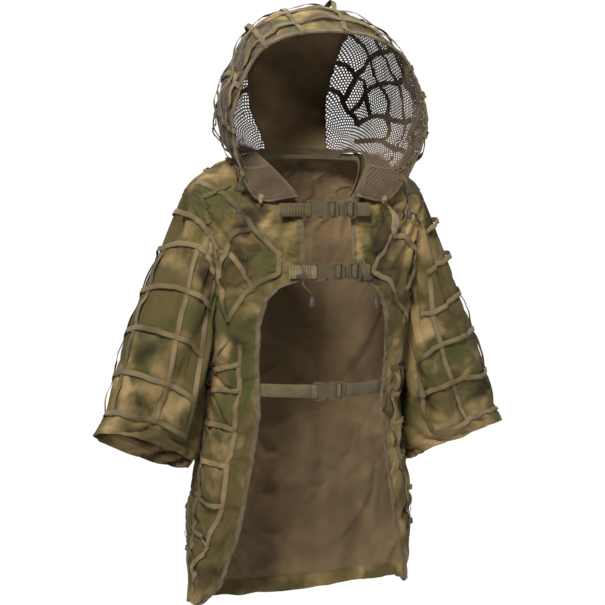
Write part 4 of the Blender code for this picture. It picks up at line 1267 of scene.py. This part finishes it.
SLEEVE_ROWS = {
    -1: (((-1.15, 0.12), (-0.40, 0.11), (0.30, 0.08), (0.80, 0.04), (1.26, 0.01)),
         ((-1.15, 0.30), (-0.30, 0.27), (0.22, 0.24), (1.10, 0.11), (1.84, 0.03)),
         ((-1.10, 0.48), (-0.22, 0.43), (0.30, 0.41), (1.15, 0.31), (1.95, 0.19)),
         ((-1.05, 0.65), (-0.15, 0.60), (0.36, 0.57), (1.25, 0.51), (1.99, 0.42)),
         ((-1.00, 0.81), (-0.10, 0.77), (0.40, 0.75), (1.36, 0.72), (2.00, 0.68)),
         ((-0.95, 0.94), (-0.08, 0.93), (0.42, 0.92), (1.42, 0.90), (2.12, 0.88))),
    1: (((-1.15, 0.12), (-0.30, 0.12), (0.10, 0.13), (1.03, 0.08)),
        ((-1.12, 0.28), (-0.22, 0.27), (0.10, 0.27), (0.74, 0.26), (1.44, 0.17)),
        ((-1.08, 0.45), (-0.16, 0.43), (0.10, 0.43), (0.87, 0.41), (1.54, 0.35), (1.94, 0.23)),
        ((-1.03, 0.62), (-0.10, 0.60), (0.08, 0.60), (0.87, 0.58), (1.55, 0.52), (2.20, 0.40)),
        ((-0.98, 0.79), (-0.06, 0.78), (0.06, 0.78), (0.87, 0.77), (1.56, 0.72), (2.42, 0.60)),
        ((-0.92, 0.95), (-0.04, 0.94), (0.05, 0.95), (0.71, 0.95), (1.53, 0.93), (2.20, 0.91))),
}


def sleeve_tapes(word, side):
    """A net of tapes: its outermost columns and rows stand off the cloth as loops between their stitches."""
    patch = sleeves[side]
    band = Band()
    for number, stops in enumerate(SLEEVE_COLUMNS[side]):
        tape(band, patch, stops, loop=0.0055 if number < 2 else 0.0026)
    for number, stops in enumerate(SLEEVE_ROWS[side]):
        stands = number == 0 or (number, side) == (1, 1)
        tape(band, patch, stops, base=TOP_LAYER, tall=(2,) if stands else ())
    finish_piece(band.piece(f"sleeve_tape_net_{word}", TAPE), [f"sleeve_tapes_{word}"])


# Tapes on each front, as stops (across, level): diamonds on the chest, then a ladder down the tail
FRONT_LINES = {
    -1: (((0.41, 1.74), (0.15, 2.48), (0.15, 2.64), (0.19, 3.28), (0.42, 3.72)),
         ((0.33, 2.08), (0.56, 2.66), (0.75, 3.21)),
         ((0.77, 2.95), (0.60, 2.92), (0.40, 3.10), (0.19, 3.28)),
         ((0.59, 1.30), (0.68, 1.85), (0.83, 2.51)),
         ((0.91, 1.70), (0.74, 1.63), (0.57, 1.59), (0.41, 1.74)),
         ((0.91, 2.68), (0.87, 2.95), (0.83, 3.20), (0.62, 3.46), (0.42, 3.72)),
         ((0.42, 3.90), (0.60, 4.14), (0.75, 4.39), (0.88, 4.73), (0.95, 5.19), (0.84, 5.58), (0.80, 5.95),
          (0.85, 6.37), (0.80, 6.76)),
         ((0.25, 3.98), (0.25, 4.25), (0.29, 4.67), (0.33, 5.18), (0.34, 5.53), (0.33, 5.96), (0.46, 6.37),
          (0.77, 6.76)),
         ((0.23, 4.25), (0.50, 4.31), (0.75, 4.39)), ((0.29, 4.67), (0.58, 4.66), (0.88, 4.73)),
         ((0.33, 5.18), (0.60, 5.15), (0.95, 5.14)), ((0.34, 5.57), (0.60, 5.56), (0.88, 5.52)),
         ((0.32, 5.98), (0.60, 5.95), (0.86, 5.88)), ((0.46, 6.37), (0.66, 6.30), (0.88, 6.25))),
    1: (((0.36, 1.58), (0.31, 2.00), (0.29, 2.26), (0.16, 2.86), (0.16, 3.30), (0.16, 3.42), (0.58, 3.89)),
        ((0.34, 1.22), (0.36, 1.75), (0.31, 2.29), (0.64, 2.80), (0.90, 3.20)),
        ((0.93, 2.60), (0.94, 2.95), (0.90, 3.22), (0.58, 3.36), (0.40, 3.40)),
        ((0.47, 1.80), (0.66, 2.28), (0.93, 2.60)),
        ((0.62, 1.30), (0.60, 1.62), (0.47, 1.88), (0.36, 2.10)),
        ((0.58, 3.95), (0.55, 4.35), (0.56, 4.75), (0.60, 5.15), (0.64, 5.55), (0.66, 5.95), (0.70, 6.35)),
        ((0.22, 4.40), (0.24, 4.75), (0.27, 5.15), (0.31, 5.55), (0.36, 5.95), (0.46, 6.35)),
        ((0.22, 4.40), (0.55, 4.38), (0.86, 4.42)), ((0.24, 4.80), (0.56, 4.78), (0.86, 4.84)),
        ((0.27, 5.18), (0.60, 5.16), (0.86, 5.22)), ((0.31, 5.58), (0.64, 5.56), (0.86, 5.60)),
        ((0.36, 5.98), (0.66, 5.96), (0.86, 6.00)), ((0.46, 6.36), (0.70, 6.34), (0.86, 6.38))),
}


def front_tapes(word, side):
    patch = fronts[side]
    band = Band()
    for number, stops in enumerate(FRONT_LINES[side]):
        base = 0.0012 + 0.0013 * (number % 2 if number < 6 else number > 7)
        tape(band, patch, stops, base=base, loop=0.0022)
    finish_piece(band.piece(f"front_tape_net_{word}", TAPE), [f"front_tapes_{word}"])


def back_tapes():
    band = Band()
    columns = [-0.80, -0.48, -0.16, 0.16, 0.48, 0.80]
    rows = [0.62, 1.30, 2.00, 2.65, 3.30, 3.90, 4.45, 5.00, 5.55, 6.05, 6.55]
    for number, u in enumerate(columns):
        stops = [(u + dice.uniform(-0.02, 0.02), v + dice.uniform(-0.05, 0.05)) for v in rows]
        tape(band, back, stops, tall=(2 + number % 3,) if number % 2 else ())
    for number, v in enumerate(rows):
        stops = [(u, v + dice.uniform(-0.06, 0.06)) for u in columns]
        stops = [(-0.90, v), *stops, (0.90, v)]
        tape(band, back, stops, base=TOP_LAYER, tall=(3,) if number in (2, 5) else ())
    finish_piece(band.piece("back_tape_net", TAPE), ["back_tapes"])


def rim_fold(band, u):
    """The turned-in end of a runner, round the hood's rim."""
    fold, _ = hood.at(u, RIM_BACKS, RIM_LIFTS)
    fold[:2] += np.array([0.0, -0.0022, 0.0])
    points = spline(fold, np.linspace(0, 4, 17))
    out = hood.at(np.full(17, u), 0.05)[1]
    turned = smooth(np.linspace(0, 1, 17)[:, None], 0.0, 0.4)
    facing = out * (1 - 2 * turned) + np.array([0.0, -1.0, 0.0]) * np.sin(math.pi * turned)
    band.ribbon(points, facing, TAPE_WIDTH, TAPE_THICK)


def hood_tapes():
    """Runners that fold over the rim and run back, and hoops across them that stand up as loops."""
    band = Band()
    runners = [-4.20, -3.60, -3.05, -2.40, -1.45, -0.57, 0.30, 1.05, 2.00, 2.50, 3.10, 3.70, 4.25]
    hoops = [0.42, 1.05, 1.75, 2.45, 3.15, 3.85]
    for number, u in enumerate(runners):
        last = 3.9 if number % 2 else 4.5
        stops = [(u + dice.uniform(-0.05, 0.05), v) for v in (0.10, *hoops) if v < last]
        tape(band, hood, [(u, 0.0), *stops], base=0.0032, loop=0.0030, tall=(3,) if number in (4, 6) else ())
        rim_fold(band, u)
    for number, v in enumerate(hoops):
        inside = [u for u in runners if abs(u) < 4.4 - 0.35 * max(0, number - 2)]
        stops = [(u, v + dice.uniform(-0.08, 0.08)) for u in inside]
        tall = tuple(k for k in range(len(stops) - 1) if (k + 2 * number) % 5 == 0)
        tape(band, hood, stops, base=0.0046, loop=0.0034, wander=0.004, tall=tall)
    finish_piece(band.piece("hood_tape_net", TAPE), ["hood_tapes"])


for word, side in SIDES:
    sleeve_tapes(word, side)
    front_tapes(word, side)
back_tapes()
hood_tapes()


# Straps, buckles and cords ------------------------------------------------------------------
WEB_WIDTH = 0.025
WEB_THICK = 0.0016
BUCKLE_LENGTH = 0.064
FEMALE_LENGTH = 0.041
PAST_BUCKLE = 0.0075  # from the strap's middle plane to webbing passing before or behind the buckle
PAST_CLIP = 0.0042  # the same, for the thinner clip and glide
ON_BAR = 0.0034  # the same, for webbing over the glide's bar
BAR = 0.0045
SLOT = 0.0042
GAP = 0.0004
TURN = 0.0012  # how tightly webbing turns round a bar
RAMP = 0.0045  # the length in which webbing climbs from behind the glide to its bar
ON_CLOTH = 0.0030  # from the cloth's surface to the middle of webbing sewn on it
# Height, Y of the middle plane, X of the buckle's right end, X where each side is sewn, X of the glide
STRAPS = {
    "neck": (-0.033, -0.118, -0.047, -0.096, 0.080, 0.0295),
    "chest": (-0.149, -0.122, -0.036, -0.078, 0.080, 0.0375),
    "waist": (-0.373, -0.120, -0.034, -0.150, 0.150, None),
}
WAIST_EDGE = 0.116  # half width where the waist strap leaves the cloth
UNDER_CLOTH = 0.0070  # from the cloth's surface to the middle of webbing sewn behind it
CHEST_EDGE = 0.049  # half width where the neck and chest straps leave the cloth
RUCHE_PITCH = 0.0056
RUCHE_HEIGHT = 0.0006


def cloth_y(x, z):
    """Y of the front cloth at an X and Z."""
    points = fronts[1 if x >= 0 else -1].points
    off = (points[..., 0] - x) ** 2 + (points[..., 2] - z) ** 2
    return float(points[np.unravel_index(int(off.argmin()), off.shape)][1])


def sewn_outside(xs, z, free_y):
    """Webbing sewn on the face of the cloth, level at free_y once it is past the cloth's edge."""
    return [(x, min(cloth_y(x, z) - ON_CLOTH, free_y) if abs(x) > CHEST_EDGE else free_y) for x in xs]


def sewn_inside(sewn, last, z, free_y):
    """Webbing sewn behind the cloth, curving out to free_y at the buckle."""
    edge = math.copysign(WAIST_EDGE, sewn)
    path = [(x, cloth_y(x, z) + UNDER_CLOTH) for x in np.linspace(sewn, edge, 5)]
    leaving = path[-1][1]
    for share in (0.84, 0.68, 0.52, 0.36, 0.20, 0.08, 0.0):
        path.append((last + (edge - last) * share, free_y + (leaving - free_y) * share ** 1.5))
    return path


def webbing(name, path, z, look, replaced, ruche=0.0, steps=6):
    """One length of webbing on edge along a path in XY. ruche is the height of gathers on its face."""
    flat = np.array([(x, y, z) for x, y in path])
    points = spline(flat, np.linspace(0, len(flat) - 1, (len(flat) - 1) * steps + 1))
    normals = unit(np.cross(np.gradient(points, axis=0), (0.0, 0.0, 1.0)))
    if ruche:
        points = points + normals * ruche * np.sin(run_along(points) * 2 * math.pi / RUCHE_PITCH)[:, None]
    band = Band()
    band.ribbon(points, normals, WEB_WIDTH, WEB_THICK)
    obj = band.piece(name, look)
    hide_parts(replaced)
    return obj


def right_half(word, z, y, x0, sewn, ruched):
    """From the cloth round the bar of the half buckle that slides off the clip."""
    behind, before = y + PAST_BUCKLE, y - PAST_BUCKLE
    through = x0 + BAR + SLOT / 2
    if ruched:
        path = sewn_outside(np.linspace(sewn, x0 - 0.002, 9), z, behind)
        finish = (RUCHED, f"{word}_strap_right", RUCHE_HEIGHT, 10)
    else:
        path = sewn_inside(sewn, x0 - 0.004, z, behind)
        finish = (ELASTIC, "waist_elastic")
    path += [(through - TURN, behind), (through, behind - TURN), (through, before + TURN),
             (through - TURN, before), (x0 - 0.004, before)]
    strap = webbing(f"{word}_elastic_web", path, z, *finish)
    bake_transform(strap)


def left_half(word, z, y, x0, sewn, glide):
    """From the clip's ladder over the glide's bar to the cloth, split on that bar."""
    clip = x0 + FEMALE_LENGTH + GAP + BAR + SLOT / 2
    tip = x0 + BUCKLE_LENGTH
    front, behind = y - PAST_CLIP, y + PAST_CLIP
    path = [(clip - 0.0001, behind), (clip, y), (clip + 0.0012, front), (clip + 0.0060, front),
            (clip + 0.0077, y), (clip + 0.0090, behind)]
    if glide is None:
        path += reversed(sewn_inside(sewn, tip + 0.006, z, behind))
        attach(webbing(f"{word}_web", path, z, WEBBING, f"{word}_webbing"), "root")
        return
    low, high = glide + 0.0095, glide + 0.0130
    middle = ((low + high) / 2, y - ON_BAR)
    node = f"{word}_strap_left"
    path += [(tip + 0.001, behind), (low - RAMP, behind), (low - 0.0022, y), (low - 0.0006, y - ON_BAR),
             middle]
    inner = webbing(f"{word}_web_inner", path, z, WEBBING, node)
    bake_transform(inner)
    path = [middle, (high + 0.0006, y - ON_BAR), (high + 0.0022, y), (high + RAMP, behind)]
    path += reversed(sewn_outside(np.linspace(sewn, glide + 0.0240, 5), z, behind))
    outer = webbing(f"{word}_web_outer", path, z, WEBBING, node)
    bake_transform(outer)


def neck_tape():
    """Tape sewn inside the neck seam, from front corner round the nape to front corner."""
    angle = np.radians(np.linspace(-146, 146, 110))
    points = body_point(math.pi - np.abs(angle), 0.0, np.where(angle >= 0, 1, -1)) + (0.0, 0.0, -0.0072)
    normals = level_outward(points)
    ribbon_piece("neck_seam_inner_tape", points - normals * 0.0062, normals, 0.009, 0.0013, BINDING,
                 ["neck_seam_tape"])


def moulded(node, look):
    """A CAD piece of hardware: its edges rounded, and a moulded finish."""
    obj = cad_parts[node]
    weld = obj.modifiers.new("weld", "WELD")
    weld.merge_threshold = 0.00001
    bevel = obj.modifiers.new("rounded_edges", "BEVEL")
    bevel.width = 0.0005
    bevel.segments = 2
    bevel.limit_method = "ANGLE"
    bevel.angle_limit = math.radians(35)
    for k in range(len(obj.data.materials)):
        obj.data.materials[k] = look
    if not obj.data.materials:
        obj.data.materials.append(look)


RUCHED = tape_material()
RUCHED.name = "ruched_elastic"
for word, (z, y, x0, sewn_right, sewn_left, glide) in STRAPS.items():
    right_half(word, z, y, x0, sewn_right, glide is not None)
    left_half(word, z, y, x0, sewn_left, glide)
    for part in ("female", "clip", "prong_upper", "prong_lower"):
        moulded(f"{word}_buckle_{part}", PLASTIC)
    if glide is not None:
        moulded(f"{word}_tri_glide", PLASTIC)
for word in CORDS:
    moulded(f"{word}_cord_lock", DARK_PLASTIC)
    moulded(f"{word}_cord_plunger", DARK_PLASTIC)
    moulded(f"{word}_cord_end", RUBBER)
for cord in cords:
    cord.data.materials.append(CORD_COVER)
neck_tape()
finish_piece(stitches.piece("seam_stitches", THREAD))


# Stage --------------------------------------------------------------------------------------
FLOOR_Z = -1.50
FLOOR_RADIUS = 2.6
AMBIENT = 0.30
BACKDROP = 1.02
# Each light's place, power in watts and size
LIGHTS = {
    "key": ((-1.5, -2.4, 2.3), 420, 0.9),
    "fill": ((2.6, -2.0, 0.9), 60, 1.6),
    "top": ((0.3, 0.9, 2.6), 110, 1.4),
}


def make_floor():
    mesh = bpy.data.meshes.new("floor")
    turns = [2 * math.pi * k / 96 for k in range(96)]
    rim = [(FLOOR_RADIUS * math.cos(a), FLOOR_RADIUS * math.sin(a), FLOOR_Z) for a in turns]
    mesh.from_pydata(rim, [], [list(range(96))])
    look = bpy.data.materials.new("floor")
    look.use_nodes = True
    shader = look.node_tree.nodes["Principled BSDF"]
    shader.inputs["Base Color"].default_value = (0.93, 0.93, 0.93, 1)
    shader.inputs["Roughness"].default_value = 0.9
    mesh.materials.append(look)
    add_object("floor", mesh)


def make_lights():
    for name, (place, power, size) in LIGHTS.items():
        data = bpy.data.lights.new(name, "AREA")
        data.energy = power
        data.size = size
        add_aimed(name, data, place, VIEW_TARGET - Vector(place))


def make_world():
    """White surroundings: full strength behind the object in the photo's view, dim on all other sides."""
    world = bpy.data.worlds.new("studio")
    world.use_nodes = True
    nodes, links = world.node_tree.nodes, world.node_tree.links
    place = nodes.new("ShaderNodeTexCoord")
    facing = nodes.new("ShaderNodeVectorMath")
    facing.operation = "DOT_PRODUCT"
    facing.inputs[1].default_value = (-math.sin(VIEW_AZIMUTH), math.cos(VIEW_AZIMUTH), 0.0)
    level = nodes.new("ShaderNodeMapRange")
    level.interpolation_type = "SMOOTHSTEP"
    for word, value in (("From Min", 0.2), ("From Max", 0.9), ("To Min", AMBIENT), ("To Max", BACKDROP)):
        level.inputs[word].default_value = value
    links.new(place.outputs["Generated"], facing.inputs[0])
    links.new(facing.outputs["Value"], level.inputs["Value"])
    links.new(level.outputs["Result"], nodes["Background"].inputs["Strength"])
    nodes["Background"].inputs["Color"].default_value = (1, 1, 1, 1)
    bpy.context.scene.world = world
    bpy.context.scene.view_settings.view_transform = "Standard"


make_floor()
make_lights()
make_world()
